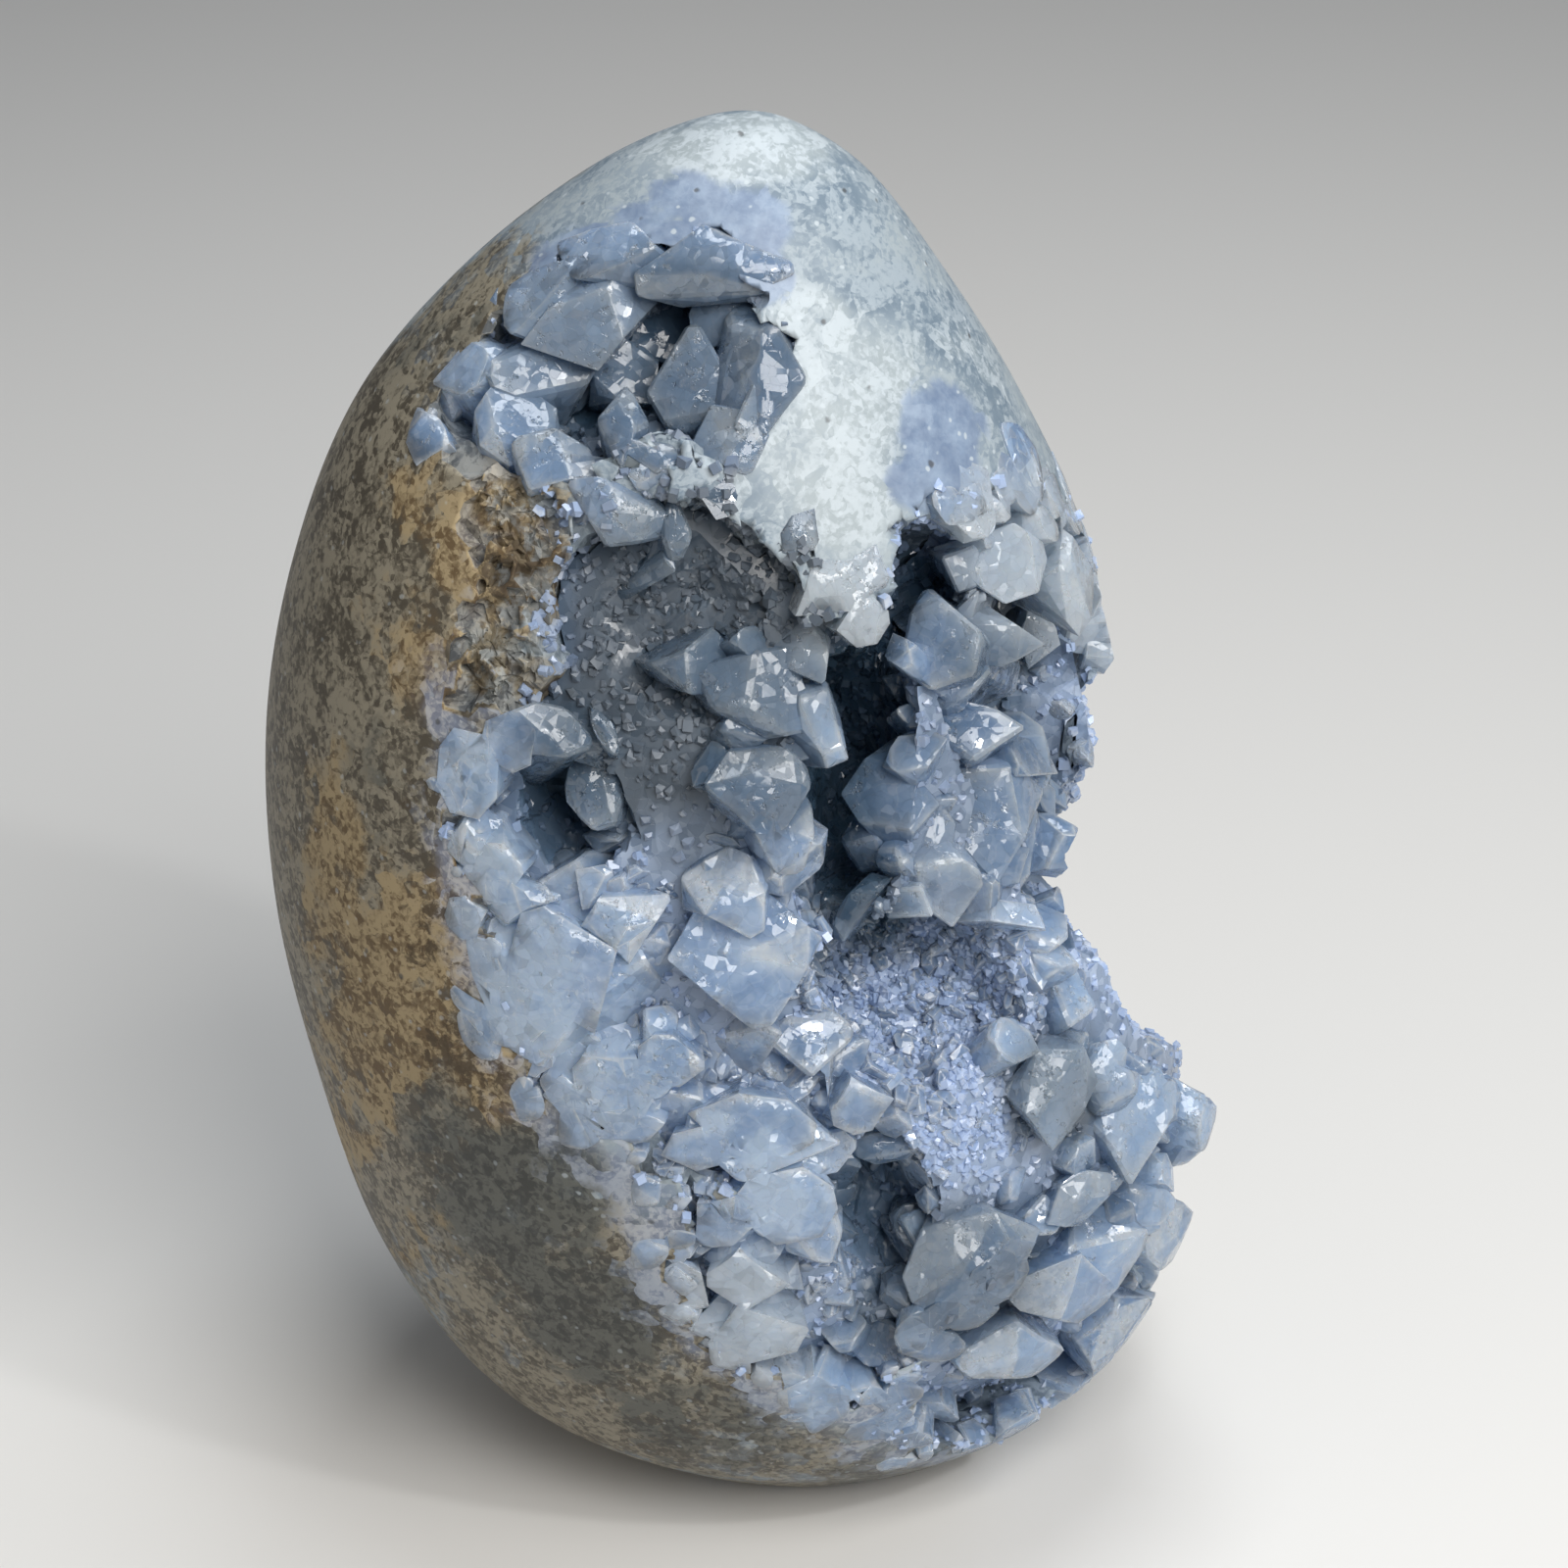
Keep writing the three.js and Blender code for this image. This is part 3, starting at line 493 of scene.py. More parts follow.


# Crystals that are placed one by one: across, up, wide, tall, sunk, lean, nod, turn
blocks = {
    "upper": [
        (-20.5, 48.4, 11, 8, 2, -10, -10, 15), (-12.4, 46.9, 7.5, 7, 10, 15, 10, 30),
        (-6.6, 48.7, 6.5, 7, 5, -15, 5, 10), (-9.8, 41.8, 7, 9, 4, -10, 5, 0),
        (-27.5, 37.5, 9, 6, 2, 15, 25, -40), (-23.5, 34.5, 8, 6, 0.5, 15, 25, -35),
        (-16.8, 38.6, 4, 7, 0.5, -5, 45, 5), (-13.3, 34.8, 7, 4, 0.5, 15, 25, -10),
        (-4.5, 42, 9, 14, 1.5, -30, 5, 0), (-8, 53, 13, 7, 0.8, -5, -20, 5),
        (-17, 53.5, 12, 7, 0.8, 0, -25, -10), (-24.5, 43.5, 10, 9, 4, 10, 10, 20),
        (-6, 36, 8, 7, 1, -20, 20, 30), (-30, 43.5, 9, 8, 1, 20, 10, 0),
        (-16.5, 43, 7, 7, 8, 5, 10, 40), (-24, 49.5, 8, 6, 1.5, 10, -15, 30),
    ],
    "main": [
        (-16.6, 28.6, 10, 6.5, 0.5, 5, -10, -25), (-11.2, 26.5, 2.6, 5, 2, 10, 10, 0),
        (-24.3, 5.8, 9, 4, 1, 15, 15, -12), (-28.6, 3.5, 5, 5, 2, 25, 10, 0),
        (-20, -0.5, 5.5, 6.5, 5, -20, 5, 20), (-31, -6, 6, 7, 1, 20, 5, 10),
        (-27, -11, 6, 4.5, 0.5, 20, 20, -20), (-23.9, -18.9, 14, 16, 1, -8, -5, 25),
        (-16.3, -13.3, 7, 7, 1, 10, 15, 10), (-18.5, -31.5, 11, 12, 1, -5, -10, 0),
        (-2, 9.5, 11, 9, 2.5, 25, 5, -30), (4.5, 6.5, 6, 7, 3, 35, 5, 20),
        (-2.5, 1, 9, 8, 1, 5, 20, 10), (0.5, -5, 5.5, 7, 0.5, 25, 0, 5),
        (-6, -10.5, 8, 8, 1.5, -10, 15, 30), (-3.6, -17.8, 12.5, 12, 1.2, 5, -5, 10),
        (3, -26, 8, 7, 3, 10, 10, 0), (10.5, -1.5, 8, 11, 7, -20, 5, 0),
        (13.5, 3.5, 5.5, 5.5, 5.5, -10, 20, 15), (21.4, -2, 10, 13.5, 4.5, 5, -5, 5),
        (25.5, 3, 7, 8, 8, 30, 10, 0), (24.8, -5.5, 6, 9, 8, 30, -5, 0),
        (16, -10, 7, 9, 3, 0, -25, 10),
        (19.4, 6.2, 9, 6, 5, 5, 15, 0), (13.5, -5, 6, 8, 6, -10, 0, -10),
        (22, -9.5, 7, 6, 5, 10, -20, 20), (21.5, 28.3, 5, 4.5, 1.5, 15, -15, 0),
        (26.5, 26.5, 7, 5.5, 1, 25, -10, 0), (23.5, 22.5, 7, 6.5, 3, 15, -10, 20),
        (30.5, 20.5, 8, 8.5, 1, 35, -15, 10), (20.5, 15, 12, 6, 5, 10, -10, -5),
        (16.5, 10.5, 8, 7, 6, -10, 0, 10), (16, 15, 7, 9, 4, -15, 5, 20),
        (26.5, -14.5, 7, 5, 6, 30, 30, -15), (30.4, -21, 6.5, 8.5, 4, 35, 30, -30),
        (36, -27, 8, 7, 6, 45, 30, -35), (28.2, -31.6, 9.5, 11.5, 0.5, 10, 5, 0),
        (37.2, -32.6, 11.5, 16, 4, 30, 5, -5), (43, -36.5, 6, 9, 5, 60, 5, 0),
        (31, -43, 7.5, 6.5, 1.5, 20, 0, 30), (38, -44, 8, 7, 4, 45, -5, 0),
        (33.6, -50, 10, 8.5, 1, 30, -15, 10), (29.5, -53.5, 11, 8.5, 1, 20, -25, -10),
        (18.9, -50, 13, 14, 1.5, -5, -5, 20), (24, -60, 12, 9, 1, 15, -30, 0),
        (10.5, -37.5, 7, 5, 7, 0, 0, 10), (9.5, -58, 6.5, 6, 5, -15, 0, 0),
        (-13.5, -28.5, 6, 6, 1, 0, 15, 0), (-2.5, -35.7, 13.5, 9.5, 1.6, 5, 5, -10),
        (7.5, -33, 5, 5, 1.5, 10, 15, 20), (0, -43, 9, 8.5, 1.5, 5, -5, 0),
        (-3.5, -48.5, 8, 7, 1.5, 0, -5, 15), (-3.5, -56, 10, 10, 1.2, 0, -10, 5),
        (2.5, -64.5, 9, 7, 1.2, 0, -20, 0),
        (-33, 1, 7.5, 8, 1.5, -10, 0, 20), (-31, -22, 7.5, 8, 1, -10, 0, 0),
        (44, -31, 10, 12, 2, 60, 10, 0), (41, -47, 9, 9, 2, 50, 0, 10),
        (35, -58, 9, 8, 1, 40, -20, 0),
    ],
    # crystals on the polished form, ground flush with it: across, up, wide, tall, turn
    "ground": [
        (-23.9, -18.5, 14, 18, 25), (-30, -9, 8, 9, 10), (-33, 1, 7, 9, 0), (-28.5, 4.5, 7, 6, 30),
        (-18, -32, 12, 13, 10), (-28, -25, 9, 8, 40), (-12, -29, 7, 6, 0), (-2.5, -36, 16, 10, -10),
        (-9, -38, 8, 7, 20), (0, -44, 11, 9, 10), (-6, -46, 9, 8, 50), (-4, -52, 9, 8, 0),
        (-3, -58, 12, 11, 20), (3, -64, 10, 8, 0), (10, -67, 9, 7, 30), (8, -34, 7, 7, 10),
        (5, 20.5, 9, 6.5, 30), (8.5, 16.5, 6, 5, 0), (1.5, 26, 6, 5, 50), (9, 22, 6, 5, 60),
        (-33.5, -14, 5, 7, 20),
    ],
    "sizeShare": 1.24,
    "root": 4,
    "longest": 24,
    "longCompanion": 13,
    "flush": 0.35,      # strewn crystals are ground this far inside the egg's form
    "edge": 0.36,       # width of the worn edges
    "swell": 0.7,       # how far faces bulge, as a share of that
    "companions": {"main": 3, "upper": 0},  # smaller crystals beside each large one
    # crystals along the rims of the hollows, apart from where the rim is broken rock
    "rimSpacing": 2.6,
    "rimSize": (2.6, 9.0),
    "broken": [(0, 24, 30, 22), (-18, 44, 44, 34), (-26, 30, 26, 14), (-30, 18, 20, 34),
               (12, 25, 12, 12)],
    # where the rim's crystals are small: across, up, width, height
    "fineRim": [(-29, -2, 16, 32)],
    "fineShare": 0.45,
    # clearer and so darker crystals: across, up, width, height
    "clear": [(21, -1, 24, 26), (19, -51, 18, 20), (9, -43, 12, 22), (-10, 44, 16, 22),
              (26, 22, 22, 20)],
    "clearShare": 0.45,
    # the visible notch at the right stays open: its cuts, and how far crystals reach in
    "notch": [6, 8, 9, 15],
    "reachIn": 1.0,
}


# Crystals of middling size, strewn over the open walls
strewn = {
    "count": {"main": 520, "upper": 34},
    "size": (3.5, 10.5),
    "sway": 0.5,
    "edge": 0.25,
    # places where only fine crystals grow: across, up, width, height
    "bare": [(-9, 15, 30, 28), (14, -22, 24, 18), (19, -35, 12, 12)],
    "bareShare": 0.04,
    # patches of glittering crystals of one to three millimetres
    "glitter": [(14, -22, 26, 20), (19, -35, 13, 13), (-30, -3, 9, 20), (-16, -12, 9, 8),
                (20.5, 17, 9, 4), (-14, -22, 8, 16), (-9, -31, 10, 8), (3, -30, 12, 6),
                (-10, -44, 8, 20), (5, -55, 8, 14)],
    "glitterCount": 1200,
    "glitterSize": (1.0, 3.0),
    # places without any: dark holes with smooth walls, and rotten rock
    "holes": [(-23.5, -2, 11, 17), (8, 10, 8, 9), (5, 0, 7, 14), (9, -43, 8, 12),
              (15, 22, 8, 13), (-31, 16, 20, 26)],
    # few crystals between the large ones of the right-hand cluster
    "calm": [(20, -1, 22, 24)],
    "calmShare": 0.25,
}


def cutOff(work, place, normal):
    # takes away what lies beyond a plane and closes the cut
    cut = bmesh.ops.bisect_plane(
        work, geom=work.verts[:] + work.edges[:] + work.faces[:],
        plane_co=place, plane_no=normal, clear_outer=True)
    rim = [item for item in cut["geom_cut"] if isinstance(item, bmesh.types.BMEdge)]
    if rim:
        bmesh.ops.edgeloop_fill(work, edges=rim)


def crystalForm(wide, tall, deep, rng):
    # a blunt celestite crystal: prism, end faces and domes at fixed angles, each face at
    # a distance of its own, with its tip at the origin and pointing along +Z
    prism = math.radians(38)
    work = bmesh.new()
    bmesh.ops.create_cube(work, size=4)
    faces = [(0, 0, 1, rng.uniform(0.5, 0.85))]
    for across, along in ((1, 1), (1, -1), (-1, 1), (-1, -1)):
        faces.append((across * math.cos(prism), along * math.sin(prism), 0,
                      rng.uniform(0.7, 0.95)))
    for across, along, chance in ((1, 0, 0.6), (-1, 0, 0.6), (0, 1, 0.4), (0, -1, 0.4)):
        if rng.random() < chance:
            faces.append((across, along, 0, rng.uniform(0.75, 1.05)))
    for turn in range(4):
        if rng.random() < 0.6:
            angle = turn * math.pi / 2 + rng.uniform(-0.2, 0.2)
            slope = math.radians(rng.uniform(38, 60))
            faces.append((math.cos(angle) * math.sin(slope), math.sin(angle) * math.sin(slope),
                          math.cos(slope), rng.uniform(0.74, 1.0)))
    for x, y, z, distance in faces:
        normal = Vector((x, y, z)).normalized()
        cutOff(work, normal * distance, normal)
    highest = max(vertex.co.z for vertex in work.verts)
    spread = [max(abs(vertex.co[i]) for vertex in work.verts if vertex.co.z > -1) for i in (0, 1)]
    for vertex in work.verts:
        z = (vertex.co.z - highest) * min(wide, tall) * 0.5
        if vertex.co.z < -1.5:
            z = -deep
            vertex.co.x *= 0.75
            vertex.co.y *= 0.75
        vertex.co = Vector((vertex.co.x / spread[0] * wide / 2,
                            vertex.co.y / spread[1] * tall / 2, z))
    return work


def polishOff(work):
    # where a crystal stands out of the polished form, it is ground flush with it
    outer = [(depthUnder(vertex.co), vertex) for vertex in work.verts]
    lowest, vertex = min(outer, key=lambda pair: pair[0])
    if lowest > blocks["flush"]:
        return
    middle = sum((v.co for d, v in outer if d < 6), Vector()) / sum(1 for d, v in outer if d < 6)
    near, normal, index, distance = eggTree.find_nearest(middle)
    cutOff(work, near - normal * blocks["flush"], normal)


def crystalObject(work, axes, place, tint, edgeWidth):
    # one crystal as an object of its own, to be joined to others
    single = Cluster()
    single.add(work, axes, place, tint, edgeWidth, False)
    return single.finish("crystal")


def uniteAll(solids):
    while len(solids) > 1:
        joined = [combine(a, b, "UNION") for a, b in zip(solids[::2], solids[1::2])]
        if len(solids) % 2:
            joined.append(solids[-1])
        solids = joined
    return solids[0]


def grind(solid, tint):
    # what stands out of the polished form is ground flush with it
    combine(solid, copyOf(grindForm), "INTERSECT")
    mesh = solid.data
    if not mesh.polygons:
        bpy.data.objects.remove(solid)
        return False
    mesh.attributes.remove(mesh.attributes["tint"])
    addValues(mesh, "tint", [tint] * len(mesh.polygons), "FACE")
    points, centres, normals = arraysOf(mesh)
    ground = onForm(centres, normals)
    onGround, onSides = set(), set()
    for polygon, isGround in zip(mesh.polygons, ground):
        (onGround if isGround else onSides).update(polygon.vertices)
    for index in onGround:
        mesh.attributes["edge"].data[index].value = 1.0 if index in onSides else 0.0
    return True


class Cluster:
    # many crystals gathered into one mesh, with a tint for each and marked edges
    def __init__(self):
        self.points = []
        self.faces = []
        self.tints = []
        self.edges = []

    def add(self, work, axes, place, tint, edgeWidth, polish=True):
        for vertex in work.verts:
            vertex.co = axes @ vertex.co + place
        if polish:
            polishOff(work)
        bmesh.ops.remove_doubles(work, verts=work.verts, dist=0.02)
        bmesh.ops.dissolve_degenerate(work, edges=work.edges, dist=0.02)
        work.faces.ensure_lookup_table()
        if len(work.verts) < 4:
            work.free()
            return
        worn = set()
        if edgeWidth:
            done = bmesh.ops.bevel(work, geom=work.edges[:], offset=edgeWidth, segments=1,
                                   profile=0.6, affect="EDGES", clamp_overlap=True)
            worn = set(done["faces"])
        bmesh.ops.recalc_face_normals(work, faces=work.faces)
        corners = set(work.verts)
        broad = [face for face in work.faces if face not in worn]
        bmesh.ops.poke(work, faces=broad, offset=edgeWidth * blocks["swell"])
        work.verts.index_update()
        start = len(self.points)
        self.points.extend(vertex.co.copy() for vertex in work.verts)
        self.edges.extend(1.0 if vertex in corners else 0.0 for vertex in work.verts)
        for face in work.faces:
            self.faces.append([start + vertex.index for vertex in face.verts])
            self.tints.append(tint)
        work.free()

    def finish(self, name):
        mesh = meshFrom(name, self.points, self.faces)
        addValues(mesh, "tint", self.tints, "FACE")
        addValues(mesh, "edge", self.edges)
        return newObject(name, mesh)


def axesFor(outwards, spin):
    right = Vector((0, 0, 1)).cross(outwards)
    if right.length < 0.1:
        right = Vector((1, 0, 0))
    right.normalize()
    up = outwards.cross(right).normalized()
    return Matrix((right, up, outwards)).transposed() @ Matrix.Rotation(spin, 3, "Z")


def eyeAxes(lean, nod, turn):
    leanTurn = Matrix.Rotation(math.radians(lean), 3, upAxis)
    nodTurn = Matrix.Rotation(math.radians(-nod), 3, acrossAxis)
    outwards = leanTurn @ (nodTurn @ -inwardsAxis)
    right = leanTurn @ acrossAxis
    up = outwards.cross(right).normalized()
    right = up.cross(outwards)
    axes = Matrix((right, up, outwards)).transposed()
    return axes @ Matrix.Rotation(math.radians(turn), 3, "Z"), outwards


def treeOfAll(solids):
    points = []
    faces = []
    for solid in solids:
        start = len(points)
        points.extend(v.co.copy() for v in solid.data.vertices)
        faces.extend(tuple(start + i for i in p.vertices) for p in solid.data.polygons)
    return BVHTree.FromPolygons(points, faces)


wallTree = treeOfAll([wall])
bedTrees = {"main": treeOfAll([mainBed]), "upper": treeOfAll([upperBed])}


def reachTo(place, direction, trees):
    hits = [tree.ray_cast(place, direction)[3] for tree in trees]
    hits = [hit for hit in hits if hit is not None]
    return min(hits) if hits else 6


def inUpper(across, up):
    # the hollow at the upper left stands by itself
    return up > 33 and across < 3


def rimEdges():
    # places along the edge between the polished form and the hollows, with the way
    # outwards and the way into the hollow
    work = bmesh.new()
    work.from_mesh(wall.data)
    work.faces.ensure_lookup_table()
    found = []
    for edge in work.edges:
        if len(edge.link_faces) != 2:
            continue
        polished, hollow = edge.link_faces
        if wallOnForm[polished.index] == wallOnForm[hollow.index]:
            continue
        if wallOnForm[hollow.index]:
            polished, hollow = hollow, polished
        outwards = polished.normal.copy()
        inwards = hollow.calc_center_median() - polished.calc_center_median()
        inwards -= outwards * inwards.dot(outwards)
        found.append(((edge.verts[0].co + edge.verts[1].co) / 2, outwards, inwards))
    work.free()
    return found


def spacedOut(places, spacing):
    kept = []
    for place in places:
        if all((place[0] - other[0]).length > spacing for other in kept):
            kept.append(place)
    return kept


def rimPlaces(which):
    found = []
    for middle, outwards, inwards in rimEdges():
        spot = spotOf(middle)
        if inSpots(blocks["broken"], *spot):
            continue
        if inUpper(*spot) == (which == "upper") and middle.z > 5 and inwards.length > 1e-4:
            found.append((middle, outwards, inwards.normalized()))
    random.Random(3).shuffle(found)
    return spacedOut(found, blocks["rimSpacing"])


def growBlocks(which, seed):
    rng = random.Random(seed)
    solids = []
    trees = [bedTrees[which], wallTree]

    def grow(form, axes, place, tint, edge, ground=True):
        if inSpots(blocks["clear"], *spotOf(place)):
            tint *= blocks["clearShare"]
        solid = crystalObject(form, axes, place, tint, edge)
        if min(depthUnder(vertex.co) for vertex in solid.data.vertices) > 0.05:
            solids.append(solid)
        elif not ground:
            bpy.data.objects.remove(solid)
        elif grind(solid, tint):
            solids.append(solid)

    def rootOf(spot, outwards):
        return min(reachTo(spot, -outwards, trees) + blocks["root"], blocks["longest"])

    for across, up, wide, tall, sunk, lean, nod, turn in blocks[which]:
        tint = rng.random()
        wide *= blocks["sizeShare"]
        tall *= blocks["sizeShare"]
        axes, outwards = eyeAxes(lean, nod, turn)
        place = placeInEgg(across, up, sunk)
        deep = max(rootOf(place, outwards), wide * 0.6)
        grow(crystalForm(wide, tall, deep, rng), axes, place, tint, blocks["edge"])
        for number in range(blocks["companions"][which]):
            angle = rng.uniform(0, 2 * math.pi)
            share = rng.uniform(0.4, 0.75)
            axes, outwards = eyeAxes(lean + rng.uniform(-35, 35), nod + rng.uniform(-35, 35),
                                     turn + rng.uniform(-60, 60))
            place = placeInEgg(across + math.cos(angle) * wide * 0.5,
                               up + math.sin(angle) * tall * 0.5, sunk + rng.uniform(0.8, 3))
            root = rootOf(place, outwards)
            form = crystalForm(wide * share, tall * share, root, rng)
            besides = min(max(tint + rng.uniform(-0.3, 0.3), 0), 1)
            if root < blocks["longCompanion"] and not inSpots(strewn["holes"], *spotOf(place)):
                grow(form, axes, place, besides, blocks["edge"] * 0.7, False)
    for across, up, wide, tall, turn in blocks["ground"]:
        if inUpper(across, up) != (which == "upper"):
            continue
        place = placeInEgg(across, up, 0)
        near, normal, index, distance = eggTree.find_nearest(place)
        grow(crystalForm(wide, tall, 7, rng), axesFor(normal, math.radians(turn)),
             place + normal * wide * 0.16, rng.random(), 0)
    for middle, outwards, inwards in rimPlaces(which):
        low, high = blocks["rimSize"]
        size = low + (high - low) * rng.random() ** 1.3
        if inSpots(blocks["fineRim"], *spotOf(middle)):
            size *= blocks["fineShare"]
        tilt = Vector([rng.uniform(-0.45, 0.45) for i in range(3)])
        aim = (outwards + tilt + inwards * 0.15).normalized()
        place = middle + inwards * rng.uniform(-0.3, 0.35) * size + outwards * size * 0.2
        form = crystalForm(size, size * rng.uniform(0.55, 0.95), rng.uniform(3, 7), rng)
        grow(form, axesFor(aim, rng.uniform(0, math.pi)), place, rng.random(),
             blocks["edge"] * 0.7)
    count = len(solids)
    whole = uniteAll(solids)
    if which == "main":
        combine(whole, copyOf(notchForm), "DIFFERENCE")
    whole.name = which + "_blocks"
    points, centres, normals = arraysOf(whole.data)
    whole.data.polygons.foreach_set("use_smooth", onForm(centres, normals))
    print(which, "blocks", count, "faces", len(whole.data.polygons))
    return whole


# Where the rim of a hollow is broken rock, chips are missing from it
chips = {
    "spacing": 4.2,
    "size": (4.5, 10),
    "deep": (1.0, 3.0),
    "crumbSize": (1.6, 4.5),
    "seed": 8,
    # rotten rock, rough all over: across, up, width, height
    "rotten": [(-27, 20, 10, 16), (-28.5, 29, 9, 7), (-25, 10, 7, 8), (-31, 13, 6, 10)],
    "rottenCount": 210,
    # where the rim keeps its shape better: across, up, width, height
    "fine": [(4, 24, 24, 42)],
    "fineShare": 0.5,
}


rottenSpots = [spot + (1,) for spot in chips["rotten"]]


def chipRims():
    rng = random.Random(chips["seed"])
    spots = [(middle, outwards) for middle, outwards, inwards in rimEdges()]
    rng.shuffle(spots)
    kept = spacedOut([spot for spot in spots if spot[0].z > 6], chips["spacing"])
    rough = []
    while len(rough) < chips["rottenCount"]:
        x, y, wide, high = rng.choice(chips["rotten"])
        middle = placeInEgg(x + rng.uniform(-0.5, 0.5) * wide, y + rng.uniform(-0.5, 0.5) * high, 0)
        near, normal, index, distance = eggTree.find_nearest(middle)
        rough.append((middle, normal))
    kept += rough
    cutters = []
    for number, (middle, outwards) in enumerate(kept):
        size = rng.uniform(*chips["size"])
        deep = rng.uniform(*chips["deep"])
        if number >= len(kept) - len(rough):
            size = rng.uniform(*chips["crumbSize"])
        elif inSpots(chips["fine"], *spotOf(middle)):
            size *= chips["fineShare"]
            deep *= chips["fineShare"]
        form = crystalForm(size, size * rng.uniform(0.5, 1), deep, rng)
        tilt = Vector([rng.uniform(-0.5, 0.5) for i in range(3)])
        axes = axesFor((-outwards + tilt).normalized(), rng.uniform(0, math.pi))
        for vertex in form.verts:
            vertex.co.z += rng.uniform(0.3, 0.5) * chips["deep"][1]
        cutters.append(crystalObject(form, axes, middle, 0, 0))
    combine(wall, uniteAll(cutters), "DIFFERENCE")
    print("chips", len(kept), "faces", len(wall.data.polygons))


print("chipping the rims")
points, centres, normals = arraysOf(wall.data)
wallOnForm = onForm(centres, normals)
chipRims()
keepLargest(wall)
wallTree = treeOfAll([wall])

print("growing the blocks")
points, centres, normals = arraysOf(wall.data)
wallOnForm = onForm(centres, normals)
points, faces = eggShape(egg["crystalSkin"], 96, 5)
grindForm = newObject("form", meshFrom("form", points, faces))
notchForm = cutSpace([hollows["mainCuts"][number] for number in blocks["notch"]],
                     blocks["reachIn"])
notchTree = treeOfAll([notchForm])
mainBlocks = growBlocks("main", 5)
upperBlocks = growBlocks("upper", 6)
bpy.data.objects.remove(grindForm)
bpy.data.objects.remove(notchForm)


def openSkin(obj, others, polished):
    # the faces of a hollow that lie in the open, as a mesh that crystals grow on
    points, centres, normals = arraysOf(obj.data)
    keep = []
    for number, polygon in enumerate(obj.data.polygons):
        if polished is not None and polished[number]:
            continue
        if centres[number][2] < hollows["lowestCut"] + 0.2:
            continue
        start = Vector(centres[number]) + Vector(normals[number]) * 0.02
        hits = [tree.ray_cast(start, Vector(normals[number]), 1.2)[0] for tree in others]
        if all(hit is None for hit in hits):
            keep.append(tuple(polygon.vertices))
    used = sorted({index for face in keep for index in face})
    renumber = {old: new for new, old in enumerate(used)}
    return [points[index] for index in used], [[renumber[i] for i in face] for face in keep]


print("finding the open walls")
skins = {}
for which, bed in (("main", mainBed), ("upper", upperBed)):
    skins[which] = openSkin(bed, [wallTree], None)
    print(which, "open faces of the bed", len(skins[which][1]))
wallSkinPoints, wallSkinFaces = openSkin(wall, list(bedTrees.values()), wallOnForm)
print("open faces of the wall", len(wallSkinFaces))

# the wall's own open faces belong to the hollow on their side
for which in ("main", "upper"):
    points, faces = skins[which]
    start = len(points)
    points.extend(wallSkinPoints)
    for face in wallSkinFaces:
        middle = sum((Vector(wallSkinPoints[i]) for i in face), Vector()) / len(face)
        if inUpper(*spotOf(middle)) == (which == "upper"):
            faces.append([start + i for i in face])


def strewCrystals(which, seed):
    rng = random.Random(seed)
    points, faces = skins[which]
    corners = np.array([[points[f[0]], points[f[1]], points[f[2]]] for f in faces])
    cross = np.cross(corners[:, 1] - corners[:, 0], corners[:, 2] - corners[:, 0])
    area = np.linalg.norm(cross, axis=1)
    running = np.cumsum(area)
    cluster = Cluster()
    count = strewn["count"][which]
    made = 0
    fineCount = strewn["glitterCount"] // 1 if which == "main" else 0
    while made < count + fineCount:
        isFine = made >= count
        index = int(np.searchsorted(running, rng.random() * running[-1]))
        a, b, c = corners[index]
        s, t = rng.random(), rng.random()
        if s + t > 1:
            s, t = 1 - s, 1 - t
        spot = Vector(a + (b - a) * s + (c - a) * t)
        seen = spotOf(spot)
        if isFine and not inSpots(strewn["glitter"], *seen):
            continue
        made += 1
        if inSpots(strewn["holes"] + chips["rotten"], *seen):
            continue
        if inSpots(strewn["bare"], *seen) and not isFine and rng.random() > strewn["bareShare"]:
            continue
        if inSpots(strewn["calm"], *seen) and rng.random() > strewn["calmShare"]:
            continue
        outwards = Vector(cross[index]).normalized()
        outwards += Vector([rng.uniform(-1, 1) for i in range(3)]) * strewn["sway"]
        outwards.normalize()
        low, high = strewn["glitterSize" if isFine else "size"]
        size = low + (high - low) * rng.random() ** 2
        height = size * (0.02 + 0.36 * rng.random() ** 2)
        near, normal, number, away = notchTree.find_nearest(spot + outwards * height)
        if (spot + outwards * height - near).dot(normal) < size * 0.3:
            size = min(size, 3)
            height = size * 0.1
        axes = axesFor(outwards, rng.uniform(0, math.pi))
        work = crystalForm(size, size * rng.uniform(0.55, 0.9), height + 2, rng)
        edgeWidth = strewn["edge"] * (0.5 if isFine else 1)
        cluster.add(work, axes, spot + outwards * height, rng.random(), edgeWidth)
    return cluster.finish(which + "_strewn")


print("strewing crystals")
mainStrewn = strewCrystals("main", 21)
upperStrewn = strewCrystals("upper", 22)
print("strewn faces", len(mainStrewn.data.polygons), len(upperStrewn.data.polygons))

# Fine crystals over all open walls, by Geometry Nodes
druse = {
    "perSquareMetre": 2600000,
    "elsewhere": 0.12,  # share of that outside the places with fine crystals only
    "smallest": 0.35,
    "largest": 1.0,
    "tilt": 0.75,
    "seed": 4,
    # the rotten rock has none: across, up, width, height, strength
    "none": [(-32, 25, 17, 42, 1), (-34, 8, 8, 20, 1)],
}


